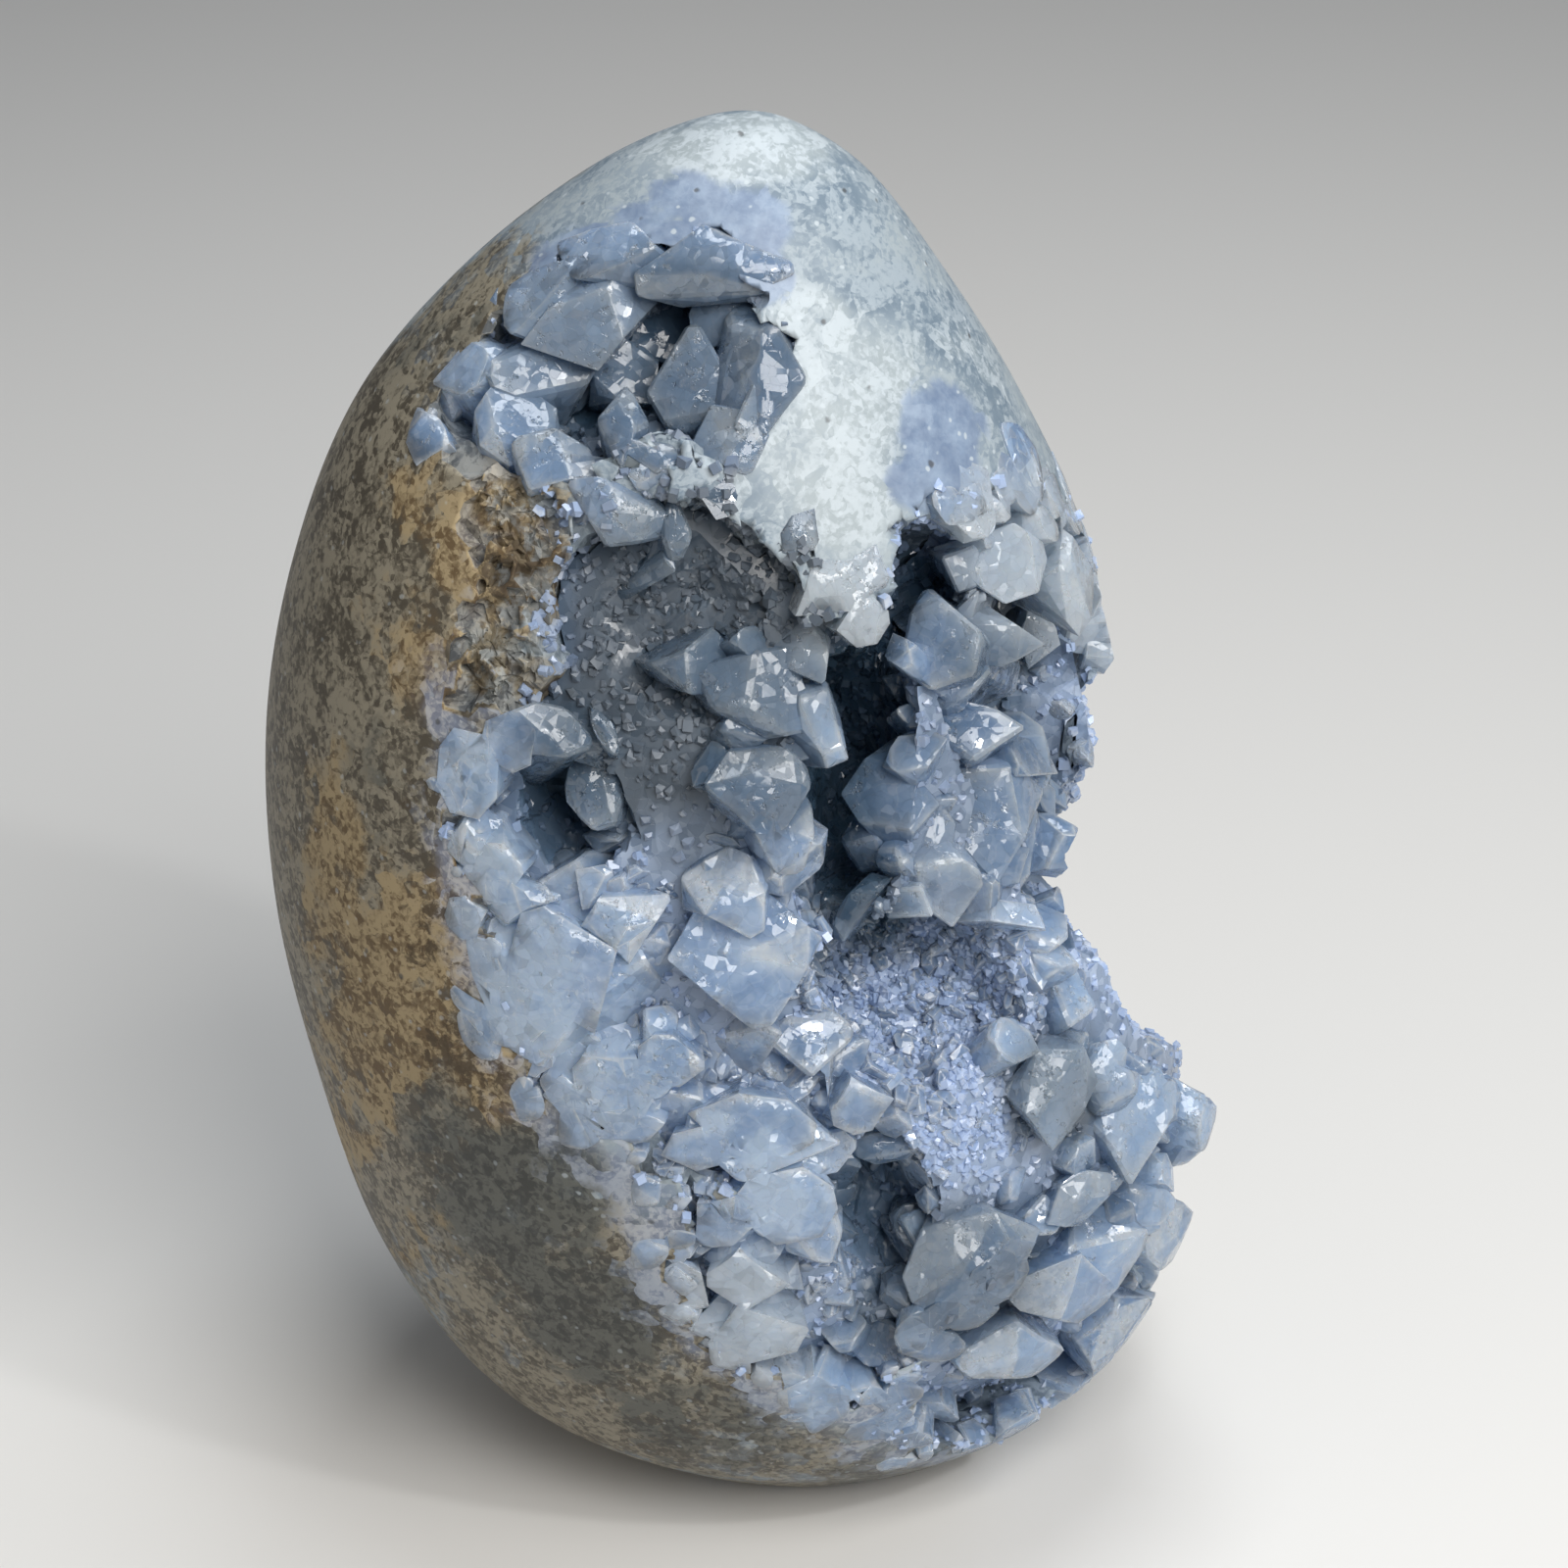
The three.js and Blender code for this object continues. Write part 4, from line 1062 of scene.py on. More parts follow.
def smallCrystal():
    # a four-sided prism with a roof, in units of its own width
    rng = random.Random(2)
    points = [(-0.5, -0.4, -0.9), (0.5, -0.4, -0.9), (0.5, 0.4, -0.9), (-0.5, 0.4, -0.9),
              (-0.6, -0.45, 0.2), (0.6, -0.5, 0.1), (0.55, 0.5, 0.25), (-0.5, 0.45, 0.15),
              (-0.22, 0.0, 0.58), (0.25, 0.05, 0.53)]
    faces = [(3, 2, 1, 0), (0, 1, 5, 4), (1, 2, 6, 5), (2, 3, 7, 6), (3, 0, 4, 7),
             (4, 5, 9, 8), (5, 6, 9), (6, 7, 8, 9), (7, 4, 8)]
    return newObject("small_crystal", meshFrom("small_crystal", points, faces))


def druseTree(name, most, crystal, material):
    tree = bpy.data.node_groups.new(name, "GeometryNodeTree")
    tree.interface.new_socket("Geometry", in_out="INPUT", socket_type="NodeSocketGeometry")
    inputs = {}
    for label, value in (("Crystals per square metre", most),
                         ("Smallest width", druse["smallest"] * metres),
                         ("Largest width", druse["largest"] * metres),
                         ("Tilt", druse["tilt"])):
        socket = tree.interface.new_socket(label, in_out="INPUT", socket_type="NodeSocketFloat")
        inputs[label] = (socket.identifier, value)
    tree.interface.new_socket("Geometry", in_out="OUTPUT", socket_type="NodeSocketGeometry")
    start = tree.nodes.new("NodeGroupInput")
    end = tree.nodes.new("NodeGroupOutput")

    def node(kind, settings, values):
        made = tree.nodes.new(kind)
        for key, value in settings.items():
            setattr(made, key, value)
        for key, value in values.items():
            if isinstance(value, bpy.types.NodeSocket):
                tree.links.new(value, made.inputs[key])
            else:
                made.inputs[key].default_value = value
        return made

    thick = node("GeometryNodeInputNamedAttribute", {"data_type": "FLOAT"}, {"Name": "thick"})
    density = node("ShaderNodeMath", {"operation": "MULTIPLY"},
                   {0: thick.outputs["Attribute"],
                    1: start.outputs["Crystals per square metre"]})
    spread = node("GeometryNodeDistributePointsOnFaces", {"distribute_method": "RANDOM"},
                  {"Mesh": start.outputs["Geometry"], "Density": density.outputs[0],
                   "Seed": druse["seed"]})
    size = node("FunctionNodeRandomValue", {"data_type": "FLOAT"},
                {2: start.outputs["Smallest width"], 3: start.outputs["Largest width"],
                 "Seed": 7})
    sway = node("FunctionNodeRandomValue", {"data_type": "FLOAT_VECTOR"},
                {0: (-1, -1, -1), 1: (1, 1, 1), "Seed": 8})
    swayed = node("ShaderNodeVectorMath", {"operation": "SCALE"},
                  {0: sway.outputs["Value"], "Scale": start.outputs["Tilt"]})
    outwards = node("ShaderNodeVectorMath", {"operation": "ADD"},
                    {0: spread.outputs["Normal"], 1: swayed.outputs["Vector"]})
    aimed = node("FunctionNodeAlignRotationToVector", {"axis": "Z"},
                 {"Vector": outwards.outputs["Vector"]})
    spin = node("FunctionNodeRandomValue", {"data_type": "FLOAT"},
                {2: 0.0, 3: 6.283, "Seed": 9})
    turned = node("FunctionNodeRotateRotation", {"rotation_space": "LOCAL"},
                  {"Rotation": aimed.outputs["Rotation"]})
    spun = node("ShaderNodeCombineXYZ", {}, {"Z": spin.outputs[1]})
    tree.links.new(spun.outputs[0], turned.inputs["Rotate By"])
    crystalInfo = node("GeometryNodeObjectInfo", {}, {"Object": crystal})
    placed = node("GeometryNodeInstanceOnPoints", {},
                  {"Points": spread.outputs["Points"],
                   "Instance": crystalInfo.outputs["Geometry"],
                   "Rotation": turned.outputs["Rotation"], "Scale": size.outputs[1]})
    shade = node("FunctionNodeRandomValue", {"data_type": "FLOAT"}, {2: 0.0, 3: 1.0, "Seed": 10})
    tinted = node("GeometryNodeStoreNamedAttribute", {"data_type": "FLOAT", "domain": "INSTANCE"},
                  {"Geometry": placed.outputs["Instances"], "Name": "tint",
                   "Value": shade.outputs[1]})
    real = node("GeometryNodeRealizeInstances", {}, {"Geometry": tinted.outputs["Geometry"]})
    painted = node("GeometryNodeSetMaterial", {},
                   {"Geometry": real.outputs["Geometry"], "Material": material})
    tree.links.new(painted.outputs["Geometry"], end.inputs["Geometry"])
    return tree, inputs


def growDruse(which, material):
    points, faces = skins[which]
    places = np.array(points)
    base = newObject(which + "_skin", meshFrom(which + "_skin", places * metres, faces))
    across, up, distance = onSheet(places)
    thick = np.full(len(places), druse["elsewhere"])
    ragged = noiseAt(places, 4)
    for x, y, wide, high in strewn["bare"]:
        away = spotDistance(x, y, wide, high, across, up)
        thick = np.maximum(thick, np.clip((1.35 - away + 0.5 * ragged) / 0.6, 0, 1))
    thick *= 1 - spotShare(druse["none"], across, up)
    thick *= 1 - 0.6 * spotShare(parts["grey"][:2], across, up)
    addValues(base.data, "thick", thick)
    addParts(base.data, places)
    # painted shade of the hollows, stored as the attribute deep
    addValues(base.data, "deep", hollowShade(places, cornerNormals(base.data)))
    crystal = smallCrystal()
    most = druse["perSquareMetre"] * 1
    tree, inputs = druseTree(which + " druse", most, crystal, material)
    grower = base.modifiers.new("druse", "NODES")
    grower.node_group = tree
    for identifier, value in inputs.values():
        grower[identifier] = value
    depsgraph = bpy.context.evaluated_depsgraph_get()
    mesh = bpy.data.meshes.new_from_object(base.evaluated_get(depsgraph))
    mesh.name = which + "_druse"
    # a grain that reaches past the source's box is ground off there
    ground = np.clip(arraysOf(mesh)[0], *np.array(cadBox))
    mesh.vertices.foreach_set("co", ground.astype(np.float32).ravel())
    base.modifiers.clear()
    bpy.data.objects.remove(base)
    bpy.data.objects.remove(crystal)
    return newObject(which + "_druse", mesh)


# Shader maths: a socket that can stand in an expression
class Wire:
    def __init__(self, tree, socket=None):
        self.tree = tree
        self.socket = socket

    def put(self, kind, settings, values, output=0):
        node = self.tree.nodes.new(kind)
        for key, value in settings.items():
            setattr(node, key, value)
        for key, value in values.items():
            if isinstance(value, Wire):
                self.tree.links.new(value.socket, node.inputs[key])
            elif value is not None:
                node.inputs[key].default_value = value
        return Wire(self.tree, node.outputs[output] if len(node.outputs) else None)

    def math(self, operation, *values):
        return self.put("ShaderNodeMath", {"operation": operation}, dict(enumerate(values)))

    def __add__(self, other):
        return self.math("ADD", self, other)

    __radd__ = __add__

    def __sub__(self, other):
        return self.math("SUBTRACT", self, other)

    def __rsub__(self, other):
        return self.math("SUBTRACT", other, self)

    def __mul__(self, other):
        return self.math("MULTIPLY", self, other)

    __rmul__ = __mul__

    def __pow__(self, other):
        return self.math("POWER", self, other)

    def atMost(self, other):
        return self.math("MINIMUM", self, other)

    def rise(self, low, high):
        # 0 under low, 1 over high, smooth between
        return self.put("ShaderNodeMapRange", {"interpolation_type": "SMOOTHSTEP"},
                        {"Value": self, "From Min": low, "From Max": high})

    def blend(self, under, over):
        # this wire is the mask between two colours
        return self.put("ShaderNodeMix", {"data_type": "RGBA"},
                        {0: self, 6: under, 7: over}, 2)

    def place(self):
        return self.put("ShaderNodeTexCoord", {}, {}, "Object")

    def value(self, name):
        return self.put("ShaderNodeAttribute", {"attribute_name": name}, {}, "Fac")

    def cloud(self, place, size, detail=4, rough=0.55, warp=0.0):
        # noise with features of that size in millimetres
        return self.put("ShaderNodeTexNoise", {},
                        {"Vector": place, "Scale": 1000 / size, "Detail": detail,
                         "Roughness": rough, "Distortion": warp}, "Fac")

    def cells(self, place, size, feature="F1", output="Color"):
        return self.put("ShaderNodeTexVoronoi", {"feature": feature},
                        {"Vector": place, "Scale": 1000 / size}, output)

    def facets(self, place, size, tilt):
        # height in millimetres of small flat faces, each tilted its own way
        cell = self.put("ShaderNodeTexVoronoi", {}, {"Vector": place, "Scale": 1000 / size})
        node = cell.socket.node
        arm = self.put("ShaderNodeVectorMath", {"operation": "SUBTRACT"},
                       {0: place, 1: Wire(self.tree, node.outputs["Position"])})
        lean = self.put("ShaderNodeVectorMath", {"operation": "SUBTRACT"},
                        {0: Wire(self.tree, node.outputs["Color"]), 1: (0.5, 0.5, 0.5)})
        height = self.put("ShaderNodeVectorMath", {"operation": "DOT_PRODUCT"},
                          {0: arm, 1: lean}, "Value")
        return height * (tilt * 2000)

    def shift(self, place, size, amount):
        # moves the pattern's place by noise, amount in millimetres
        swirl = self.put("ShaderNodeTexNoise", {},
                         {"Vector": place, "Scale": 1000 / size, "Detail": 3}, "Color")
        centred = self.put("ShaderNodeVectorMath", {"operation": "SUBTRACT"},
                           {0: swirl, 1: (0.5, 0.5, 0.5)})
        scaled = self.put("ShaderNodeVectorMath", {"operation": "SCALE"},
                          {0: centred, "Scale": amount * 2 * metres})
        return self.put("ShaderNodeVectorMath", {"operation": "ADD"}, {0: place, 1: scaled})

    def grey(self, colour):
        return self.put("ShaderNodeRGBToBW", {}, {"Color": colour})

    def bump(self, height, strength, distance, normal=None):
        return self.put("ShaderNodeBump", {},
                        {"Height": height, "Strength": strength,
                         "Distance": distance * metres, "Normal": normal})


def colour(red, green, blue):
    return (red, green, blue, 1)


def newFinish(name):
    material = bpy.data.materials.new(name)
    material.use_nodes = True
    material.node_tree.nodes.clear()
    return material, Wire(material.node_tree)


def closeFinish(wire, values):
    shader = wire.put("ShaderNodeBsdfPrincipled", {}, values)
    wire.put("ShaderNodeOutputMaterial", {}, {"Surface": shader})


# Colours of the polished rock
rockLook = {
    "pale": colour(0.30, 0.355, 0.40),
    "bluish": colour(0.14, 0.19, 0.24),
    "cream": colour(0.325, 0.37, 0.385),
    "white": colour(0.47, 0.525, 0.56),
    "section": colour(0.12, 0.175, 0.29),
    "sectionPale": colour(0.24, 0.315, 0.44),
    # earth: tan-brown rock, laid dark over the whole left flank partly as painted shade of that
    # side
    "earth": colour(0.06, 0.05, 0.034),
    "earthAndShadePale": colour(0.24, 0.215, 0.16),
    "ochre": colour(0.12, 0.075, 0.03),
    "ochrePale": colour(0.34, 0.26, 0.14),
    "brown": colour(0.06, 0.042, 0.024),
    "crumb": colour(0.23, 0.19, 0.125),
    "green": colour(0.025, 0.028, 0.026),
    "greenPale": colour(0.075, 0.08, 0.072),
    "inside": colour(0.11, 0.145, 0.19),
    "insidePale": colour(0.27, 0.33, 0.40),
    "rim": colour(0.24, 0.30, 0.43),
    "rimPale": colour(0.45, 0.51, 0.62),
    "recess": colour(0.05, 0.065, 0.077),
    "recessPale": colour(0.17, 0.20, 0.22),
    # painted shade deep in the hollows
    "shadeNavy": colour(0.025, 0.065, 0.11),
}


def rockFinish():
    material, w = newFinish("polished celestite rock")
    look = rockLook
    place = w.place()
    polished = w.value("polished")
    # the rock is a mosaic of grains, each of a shade of its own, small, middling and large
    crooked = w.shift(place, 3.5, 1.1)
    small = w.grey(w.cells(crooked, 0.95))
    middling = w.grey(w.cells(w.shift(place, 6, 2.0), 2.3))
    large = w.grey(w.cells(w.shift(place, 12, 4.0), 6.5))
    fine = w.cloud(place, 0.7, 3, 0.6)
    tiny = w.grey(w.cells(crooked, 0.5))
    mix = 0.3 * tiny + 0.28 * small + 0.26 * middling + 0.16 * large
    tone = (mix + 0.5 * (fine - 0.5)).rise(0.34, 0.64)
    broad = w.cloud(place, 15, 4, 0.6, 0.4).rise(0.38, 0.62)
    base = tone.blend(look["bluish"], look["pale"])
    pale = tone.blend(look["pale"], look["cream"])
    base = (broad * 0.75).blend(base, pale)
    # zones, each with an edge that the noise breaks up
    ragged = w.cloud(place, 7, 5, 0.68) - 0.5
    grains = middling - 0.5
    cream = (w.value("cream") + ragged * 1.0 + grains * 0.3).rise(0.35, 0.8)
    base = (cream * 0.8).blend(base, tone.blend(look["cream"], look["white"]))
    # earth: tan-brown rock over the left flank, darkened partly as painted shade of the side away
    # from the key light
    earth = (w.value("earth") + ragged * 1.1 + grains * 0.35).rise(0.3, 0.8)
    base = earth.blend(base, tone.blend(look["earth"], look["earthAndShadePale"]))
    green = (w.value("green") + ragged * 1.2 + grains * 0.5).rise(0.4, 0.85)
    base = (green * 0.9).blend(base, tone.blend(look["green"], look["greenPale"]))
    ochre = (w.value("ochre") + ragged * 1.7 + grains * 0.5).rise(0.4, 0.85)
    base = (ochre * 0.85).blend(base, tone.blend(look["ochre"], look["ochrePale"]))
    section = (w.value("section") + ragged * 0.9 + grains * 0.5).rise(0.4, 0.75)
    flawless = w.cloud(place, 3, 4, 0.6).rise(0.35, 0.7)
    base = (section * 0.75).blend(base, flawless.blend(look["section"], look["sectionPale"]))
    rim = (w.value("rim") + ragged * 1.5 + grains * 0.6).rise(0.5, 1.0)
    base = (rim * 0.55).blend(base, tone.blend(look["rim"], look["rimPale"]))
    # dark pits and stains gather in the brown zones, and white flecks lie all over
    streak = w.cloud(w.shift(place, 2.5, 1.5), 1.7, 5, 0.7)
    stain = (w.value("brown") * 0.8 + (streak - 0.5) * 2.6 + ragged).rise(0.45, 0.8)
    stained = stain * (w.value("brown") * 0.7 + earth * 0.25 + ochre * 0.3).atMost(1)
    base = (stained * 0.9).blend(base, look["brown"])
    speck = w.cells(w.shift(place, 2, 0.5), 2.1, "F1", "Distance")
    base = ((1 - speck.rise(0.08, 0.16)) * (0.75 - 0.45 * earth)).blend(base, look["white"])
    pit = 1 - w.cells(w.shift(place, 3, 0.8), 4.6, "F1", "Distance").rise(0.04, 0.10)
    base = (pit * 0.75).blend(base, colour(0.05, 0.05, 0.05))
    # inside the hollows the wall is granular and greyer
    inside = tone.blend(look["inside"], look["insidePale"])
    inside = w.value("grey").blend(inside, tone.blend(look["recess"], look["recessPale"]))
    rotten = (w.value("rotten") + ragged * 0.8).rise(0.2, 0.55)
    crumbs = w.grey(w.cells(w.shift(place, 2, 1), 0.9)).rise(0.3, 0.7)
    earthy = crumbs.blend(look["brown"], look["crumb"])
    crust = w.cloud(w.shift(place, 4, 2), 4.5, 5, 0.65).rise(0.48, 0.58)
    earthy = crust.blend(earthy, tone.blend(look["cream"], look["white"]))
    inside = rotten.blend(inside, earthy)
    # painted shade: deep in the hollows the wall turns navy
    inside = (w.value("deep") * 0.95).blend(inside, look["shadeNavy"])
    base = ((1 - polished) * 0.35).blend(base, inside)
    base = w.value("under").rise(0.1, 0.9).blend(base, inside)
    rough = 0.42 + 0.25 * fine + 0.15 * ochre.atMost(1) + 0.2 * stained - 0.12 * section
    rough = rough + (1 - polished) * 0.12
    low = middling * 0.12 + fine * 0.2 + w.cloud(place, 5, 2, 0.6) * 0.6 - pit * 0.5
    height = low + (1 - polished) * small * 0.6
    normal = w.bump(height, 0.4, 0.3)
    closeFinish(w, {"Base Color": base, "Roughness": rough, "Normal": normal,
                    "Coat Weight": 0.06, "Coat Roughness": 0.3, "IOR": 1.5})
    return material


# Colours of the crystals
crystalLook = {
    "clear": colour(0.44, 0.63, 0.94),
    "milky": colour(0.60, 0.76, 1.0),
    "pearl": colour(0.73, 0.82, 0.90),
    "dark": colour(0.22, 0.35, 0.58),
    # paler edges: partly frost and wear, partly a painted highlight along the edges
    "edge": colour(0.84, 0.92, 1.0),
    # painted shade deep in the hollows, partly the darker look of clear crystal
    "shadeNavy": colour(0.04, 0.095, 0.16),
    "slate": colour(0.07, 0.115, 0.165),
    "slatePale": colour(0.25, 0.325, 0.41),
}


def crystalFinish():
    material, w = newFinish("pale blue celestite crystal")
    place = w.place()
    tint = w.value("tint")
    edge = w.value("edge")
    veil = w.cloud(w.shift(place, 6, 2), 5, 3, 0.65)
    base = tint.blend(crystalLook["dark"], crystalLook["clear"])
    milky = w.value("milky")
    milk = veil.rise(0.36, 0.64) * (0.25 + 0.6 * tint + 0.4 * milky) + 0.3 * milky
    base = milk.atMost(1).blend(base, crystalLook["milky"])
    flaw = w.cells(w.shift(place, 3, 1.5), 3.2, "DISTANCE_TO_EDGE", "Distance")
    base = ((1 - flaw.rise(0.0, 0.04)) * 0.3 * veil).blend(base, crystalLook["edge"])
    frost = w.cloud(place, 1.1, 3, 0.75).rise(0.54, 0.66)
    patchy = w.cloud(place, 7, 2, 0.6).rise(0.42, 0.6)
    base = (frost * patchy * 0.45).blend(base, crystalLook["edge"])
    # edges paler: partly frost and wear, partly a painted highlight of light caught along the
    # edges, weaker where painted shade lies
    haze = w.cloud(place, 2.2, 3, 0.7).rise(0.3, 0.7)
    pale = edge ** 4 * (0.35 + 0.6 * haze) * (1 - 0.6 * w.value("deep"))
    base = pale.blend(base, crystalLook["edge"])
    slate = tint.blend(crystalLook["slate"], crystalLook["slatePale"])
    base = (w.value("grey") * 0.8).blend(base, slate)
    base = (w.value("pearl") * (0.6 + 0.4 * tint)).blend(base, crystalLook["pearl"])
    # painted shade, partly the darker look of clear crystal: navy deep in the hollows
    base = (w.value("deep") * 0.92).blend(base, crystalLook["shadeNavy"])
    rough = 0.05 + 0.14 * veil.rise(0.35, 0.7) + edge ** 4 * 0.15
    ripple = w.cloud(place, 1.4, 2, 0.6) * 0.015
    steps = w.facets(place, 2.6, 0.2) + w.facets(place, 1.0, 0.16)
    crust = w.facets(place, 0.6, 0.5) * frost * patchy
    normal = w.bump(steps + crust + ripple, 1.0, 1.0)
    closeFinish(w, {"Base Color": base, "Roughness": rough, "Normal": normal, "IOR": 1.62,
                    "Transmission Weight": 0.5, "Subsurface Weight": 0.2,
                    "Subsurface Radius": (0.6, 0.8, 1.0), "Subsurface Scale": 0.010})
    return material


# Colours of the grown bed under the crystals
bedLook = {
    "dark": colour(0.17, 0.24, 0.36),
    "pale": colour(0.36, 0.46, 0.64),
    "fine": colour(0.56, 0.66, 0.82),
    "grey": colour(0.045, 0.06, 0.074),
    "greyPale": colour(0.095, 0.115, 0.135),
}


def bedFinish():
    material, w = newFinish("grown celestite bed")
    place = w.place()
    shade = w.grey(w.cells(w.shift(place, 3, 0.8), 3.0))
    fine = w.grey(w.cells(place, 1.1))
    base = shade.blend(bedLook["dark"], bedLook["pale"])
    base = (fine.rise(0.5, 0.9) * 0.5).blend(base, bedLook["fine"])
    grey = shade.blend(bedLook["grey"], bedLook["greyPale"])
    base = (w.value("grey") * 0.9).blend(base, grey)
    # painted shade: navy deep in the hollows
    base = (w.value("deep") * 0.92).blend(base, crystalLook["shadeNavy"])
    rough = 0.18 + 0.25 * fine
    normal = w.bump(fine, 0.5, 0.3)
    closeFinish(w, {"Base Color": base, "Roughness": rough, "Normal": normal, "IOR": 1.62,
                    "Transmission Weight": 0.15})
    return material


# Colours of the druse
druseLook = {
    "dark": colour(0.38, 0.51, 0.78),
    "pale": colour(0.56, 0.69, 0.94),
    "white": colour(0.80, 0.87, 0.98),
    "grey": colour(0.06, 0.078, 0.09),
    "greyPale": colour(0.13, 0.15, 0.17),
}


def druseFinish():
    material, w = newFinish("fine celestite druse")
    place = w.place()
    tint = w.value("tint")
    veil = w.cloud(place, 2.5, 4, 0.6)
    base = tint.blend(druseLook["dark"], druseLook["pale"])
    base = veil.rise(0.5, 0.75).blend(base, druseLook["white"])
    grey = tint.blend(druseLook["grey"], druseLook["greyPale"])
    base = (w.value("grey") * 0.9).blend(base, grey)
    # painted shade: navy deep in the hollows
    base = (w.value("deep") * 0.92).blend(base, crystalLook["shadeNavy"])
    rough = 0.10 + 0.15 * veil + 0.3 * w.value("grey")
    closeFinish(w, {"Base Color": base, "Roughness": rough, "IOR": 1.62,
                    "Transmission Weight": 0.3})
    return material


# Zones on the polished form: across, up, width, height, turn, strength
zones = {
    # earth covers the whole left flank: tan-brown rock and painted shade of that side
    "earth": [
        (-48, 4, 40, 112, 0, 1.2), (-38, -30, 34, 46, -15, 1.0), (-18, -58, 46, 34, -20, 0.9),
        (-34, 26, 24, 22, 0, 1.0), (3, -72, 40, 16, 0, 0.7), (-31, 50, 16, 30, 35, 0.75),
    ],
    "ochre": [
        (-29.5, 24, 18, 15, 0, 1.0), (-37, 14, 12, 18, 0, 0.75), (-40, -20, 15, 26, -15, 1.0),
        (-47, -10, 8, 26, 0, 0.8), (-31, -30, 15, 10, -35, 0.8), (-37.7, -47, 9, 7, 0, 0.5),
        (-38, 30, 9, 10, 0, 0.6), (-28, 33, 12, 7, 30, 0.7), (-44, -35, 8, 14, -20, 0.7),
    ],
    "brown": [
        (-26.5, 21.5, 10, 11, 0, 1.0), (-33, -28, 12, 9, -40, 0.8), (-38, -5, 6, 14, 0, 0.5),
        (-36, -16, 8, 10, 0, 0.7), (-30, 14, 7, 9, 0, 0.6),
    ],
    "cream": [
        (2, 47, 14, 12, 0, 0.7), (7, 40.8, 16, 17, 0, 0.8), (6, 30, 12, 14, 0, 0.75),
        (-3, 32.6, 12, 12, 0, 0.6), (-4, 66, 22, 9, 0, 0.8),
        (-25.5, 16.5, 5, 9, 0, 0.8), (-20.3, 50, 5, 6, 0, 1.0), (-30, 38, 6, 8, 30, 0.6),
        (20, 40, 10, 20, 20, 0.5),
    ],
    "section": [
        (-5.1, 57.6, 10.5, 8.5, 15, 1.2), (-2.5, 52.5, 6, 6, 0, 1.1), (16.3, 36.7, 8, 10, 10, 1.2),
        (15.3, 31.6, 8, 6, 0, 1.1), (-21.4, 54, 12, 7, 25, 1.0), (-10, 61, 8, 5, 0, 0.9),
        (-15, 58, 9, 6, 10, 0.8),
    ],
    "green": [
        (-27.5, -42.8, 20, 16, 0, 1.0), (-36, -34, 10, 14, 0, 0.7), (-20, -55, 22, 14, -25, 0.9),
        (-43, 0, 8, 22, 0, 0.5), (-36, 44, 14, 10, 35, 0.5), (-8, -66, 22, 12, -10, 0.7),
        (14, -71, 22, 9, 10, 0.7),
    ],
}


# On the hidden side: where in the noise each kind of zone is read, its least value, its strength
hiddenZones = {
    "earth": (5.0, -0.12, 1.6), "ochre": (0.0, 0.12, 1.4), "brown": (3.0, 0.2, 1.6),
    "cream": (9.0, 0.02, 1.3), "section": (17.0, 0.25, 1.6), "green": (31.0, 0.05, 1.3),
}


def dressWall():
    mesh = wall.data
    points, centres, normals = arraysOf(mesh)
    smooth = wallOnForm
    mesh.polygons.foreach_set("use_smooth", smooth)
    # painted shade of the hollows, stored as the attribute deep
    addValues(mesh, "deep", hollowShade(points, cornerNormals(mesh)))
    addParts(mesh, points)
    addValues(mesh, "polished", smooth.astype(float), "FACE")
    across, up, distance = onSheet(points)
    addValues(mesh, "rotten", spotShare(rottenSpots, across, up, 0.8))
    under = np.array([depthUnder(Vector(p)) for p in points])
    addValues(mesh, "under", np.clip(under / egg["softRim"], 0, 1))
    # vertex normals of the egg decide what the eye can see
    middle = np.interp(points[:, 2], [s[0] for s in egg["sections"]],
                       [s[1] for s in egg["sections"]])
    outX = points[:, 0] - middle
    outY = points[:, 1] / egg["depthRatio"] ** 2
    toEye = np.array(eye) - points
    wander = noiseAt(points, 16) + 0.6 * noiseAt(points, 6)
    reach = 7500 * (1 + 0.8 * np.clip(wander, -1, 1))
    front = np.clip(1 + (outX * toEye[:, 0] + outY * toEye[:, 1]) / reach, 0, 1)
    lumps = noiseAt(points, 14)
    for name, spots in zones.items():
        value = np.zeros(len(points))
        for x, y, wide, high, turn, strength in spots:
            c, s = math.cos(math.radians(turn)), math.sin(math.radians(turn))
            dx, dy = across - x, up - y
            r = np.hypot((dx * c + dy * s) / (wide / 2), (dy * c - dx * s) / (high / 2))
            value = np.maximum(value, strength * np.clip(1.6 - r, 0, 1) * front)
        # the hidden side gets patches of the same kinds by chance
        offset, level, strength = hiddenZones[name]
        move = (offset, 0, 0)
        chance = noiseAt(points, 32, move) + 0.4 * noiseAt(points, 9, move)
        chance = np.clip((chance - level) * strength, 0, 1)
        value = np.maximum(value, chance * (1 - front))
        addValues(mesh, name, value)
    rimPoints = points[np.unique(np.array(
        [v for p, s in zip(mesh.polygons, smooth) if not s for v in p.vertices], int))]
    rimTree = BVHTree.FromPolygons([Vector(p) for p in rimPoints],
                                   [(i, i + 1, i + 2) for i in range(0, len(rimPoints) - 2, 3)])
    near = np.array([rimTree.find_nearest(Vector(p), 12)[3] or 12 for p in points])
    rim = np.clip(1 - near / 9 + 0.25 * lumps, 0, 1)
    addValues(mesh, "rim", rim * np.clip(1.1 - (up - 5) / 25, 0, 1))


def addPartsAndShade(obj):
    points, centres, normals = arraysOf(obj.data)
    addParts(obj.data, points)
    # painted shade of the hollows, stored as the attribute deep
    addValues(obj.data, "deep", hollowShade(points, cornerNormals(obj.data)))


print("finding the shade")


solidTree = treeOfAll([wall, mainBed, upperBed, mainBlocks, upperBlocks])

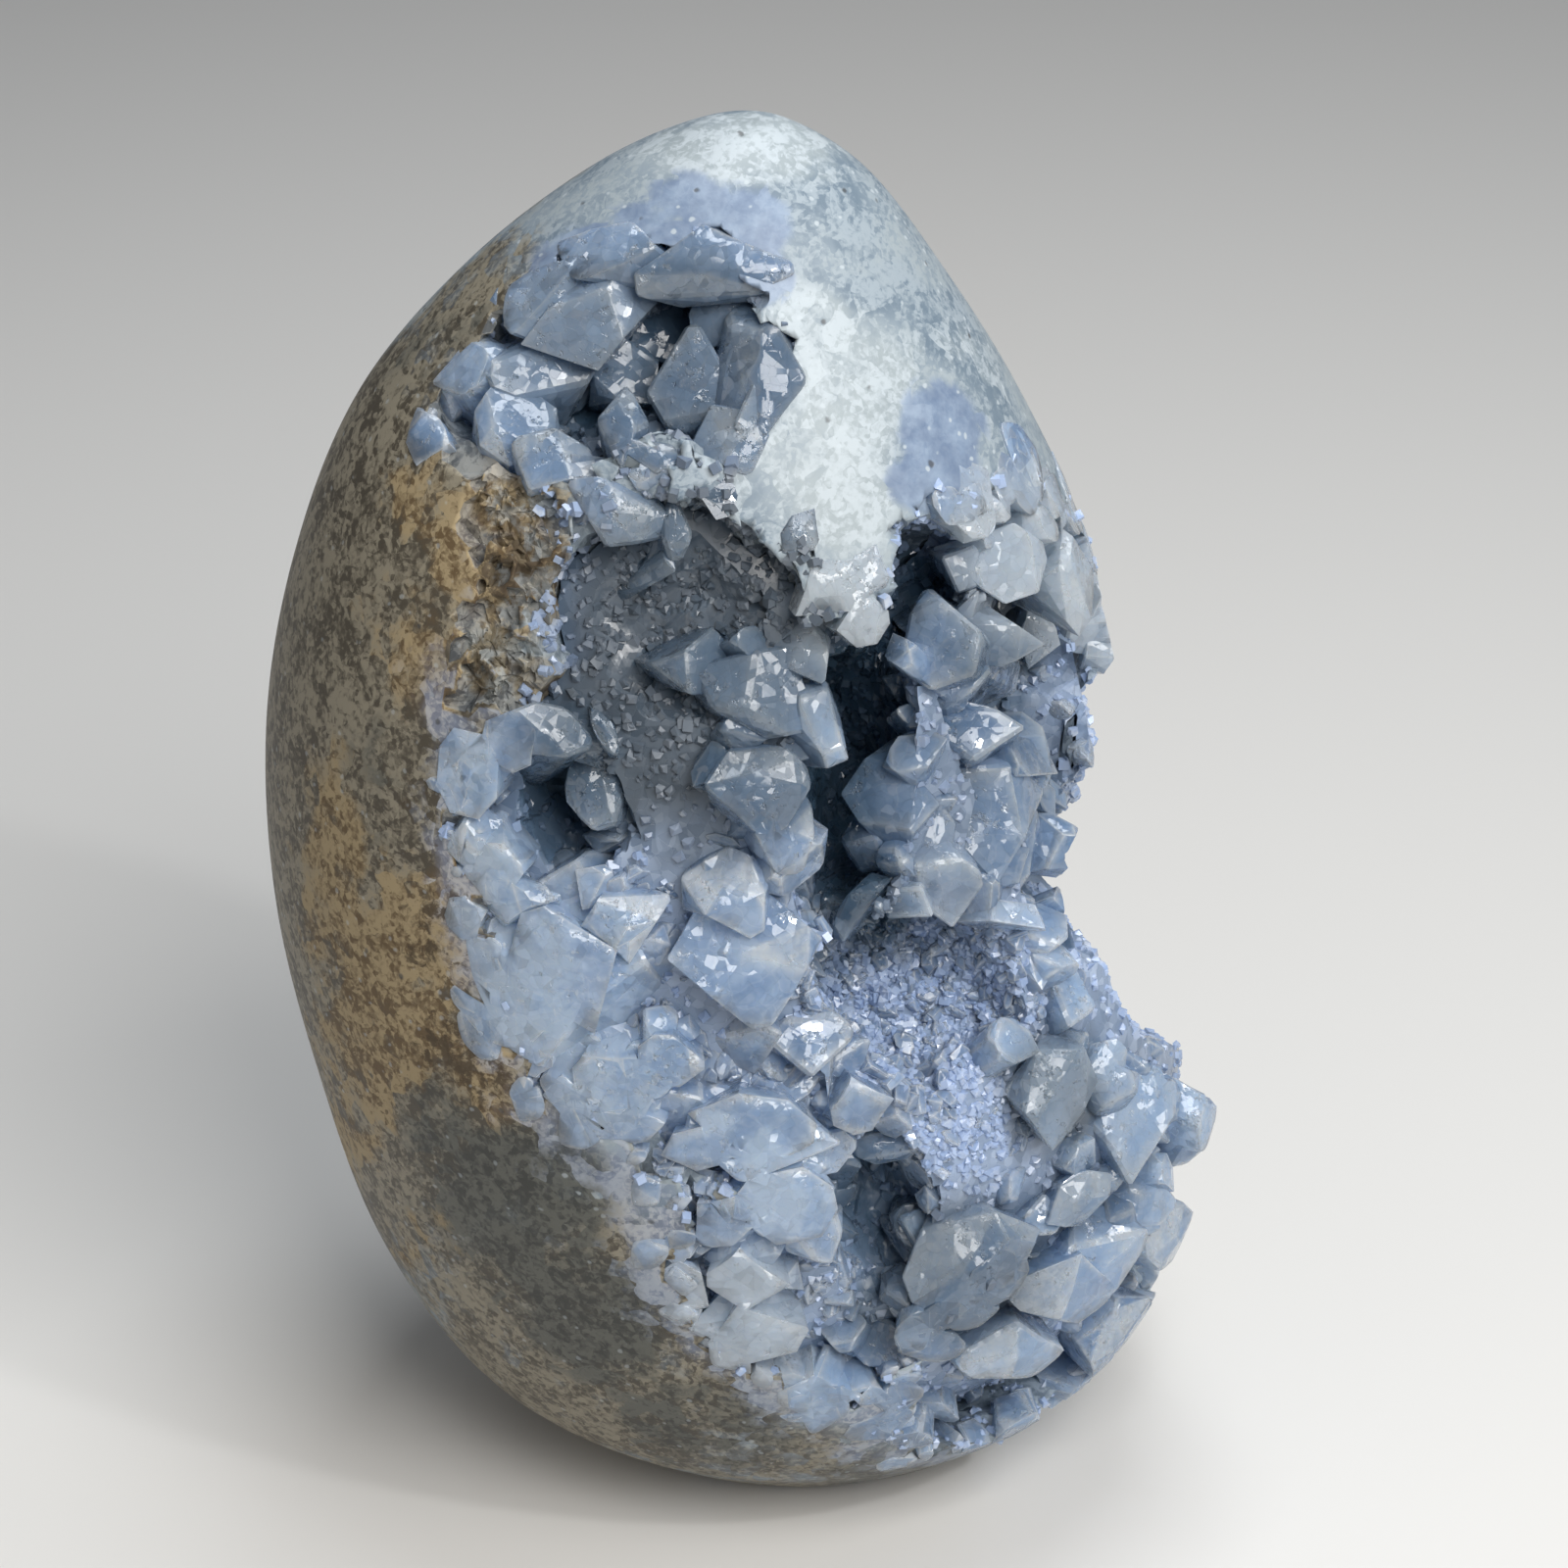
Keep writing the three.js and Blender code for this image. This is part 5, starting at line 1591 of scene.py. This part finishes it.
print("dressing")
dressWall()
rock = rockFinish()
crystal = crystalFinish()
grownBed = bedFinish()
fineDruse = druseFinish()
mainDruse = growDruse("main", fineDruse)
upperDruse = growDruse("upper", fineDruse)
print("druse faces", len(mainDruse.data.polygons), len(upperDruse.data.polygons))

beds = [mainBed, upperBed]
crystals = [mainBlocks, upperBlocks, mainStrewn, upperStrewn]
for material, members in ((rock, [wall]), (grownBed, beds), (crystal, crystals)):
    for piece in members:
        piece.data.materials.clear()
        piece.data.materials.append(material)
for piece in beds:
    piece.data.polygons.foreach_set("use_smooth", [False] * len(piece.data.polygons))
for piece in beds + crystals:
    addPartsAndShade(piece)
for piece in [wall] + beds + crystals:
    piece.data.transform(Matrix.Scale(metres, 4))
    piece.data.update()

pieces = {
    "polished_wall": ("rock", [wall]),
    "main_hollow_crystals": ("crystal", [mainBed, mainBlocks, mainStrewn, mainDruse]),
    "upper_hollow_crystals": ("crystal", [upperBed, upperBlocks, upperStrewn, upperDruse]),
}
for node, (slotName, members) in pieces.items():
    for piece in members:
        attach(piece, "root")
        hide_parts(node)

print("stage, lights and camera")
stage = {
    "floorHalf": 1.5,
    "floor": colour(0.72, 0.71, 0.69),
    "world": colour(0.80, 0.84, 0.90),
    "worldStrength": 0.16,
}
half = stage["floorHalf"]
floor = newObject("floor", meshFrom("floor", [(-half, -half, 0), (half, -half, 0),
                                              (half, half, 0), (-half, half, 0)], [(0, 1, 2, 3)]))
floorLook, w = newFinish("plain pale floor")
closeFinish(w, {"Base Color": stage["floor"], "Roughness": 0.7})
floor.data.materials.append(floorLook)

world = bpy.data.worlds.new("studio")
world.use_nodes = True
background = world.node_tree.nodes["Background"]
background.inputs["Color"].default_value = stage["world"]
background.inputs["Strength"].default_value = stage["worldStrength"]
bpy.context.scene.world = world
bpy.context.scene.view_settings.view_transform = "Standard"

lights = [
    # name, place, aim, size, power, colour
    ("key", (0.24, -0.40, 0.54), (0, 0, 0.07), 0.45, 4.3, (1.0, 0.98, 0.95)),
    ("spark", (0.34, -0.26, 0.44), (0, 0, 0.07), 0.03, 0.5, (1.0, 1.0, 1.0)),
    ("high", (0.05, 0.10, 0.70), (0, 0, 0.10), 0.30, 2.0, (0.92, 0.96, 1.0)),
    ("left", (-0.55, -0.35, 0.30), (0, 0, 0.07), 0.40, 0.4, (1.0, 0.90, 0.78)),
]
for name, spot, aim, size, power, tone in lights:
    lamp = bpy.data.lights.new(name, "AREA")
    lamp.size = size
    lamp.energy = power
    lamp.color = tone
    holder = bpy.data.objects.new(name, lamp)
    holder.location = spot
    holder.rotation_euler = (Vector(aim) - Vector(spot)).to_track_quat("-Z", "Y").to_euler()
    bpy.context.scene.collection.objects.link(holder)

lens = bpy.data.cameras.new("camera")
lens.sensor_width = 36
lens.lens = 88.27
camera = bpy.data.objects.new("camera", lens)
camera.location = eye * metres
camera.rotation_euler = (math.pi / 2 - sight["fall"], 0, 0)
bpy.context.scene.collection.objects.link(camera)
bpy.context.scene.camera = camera
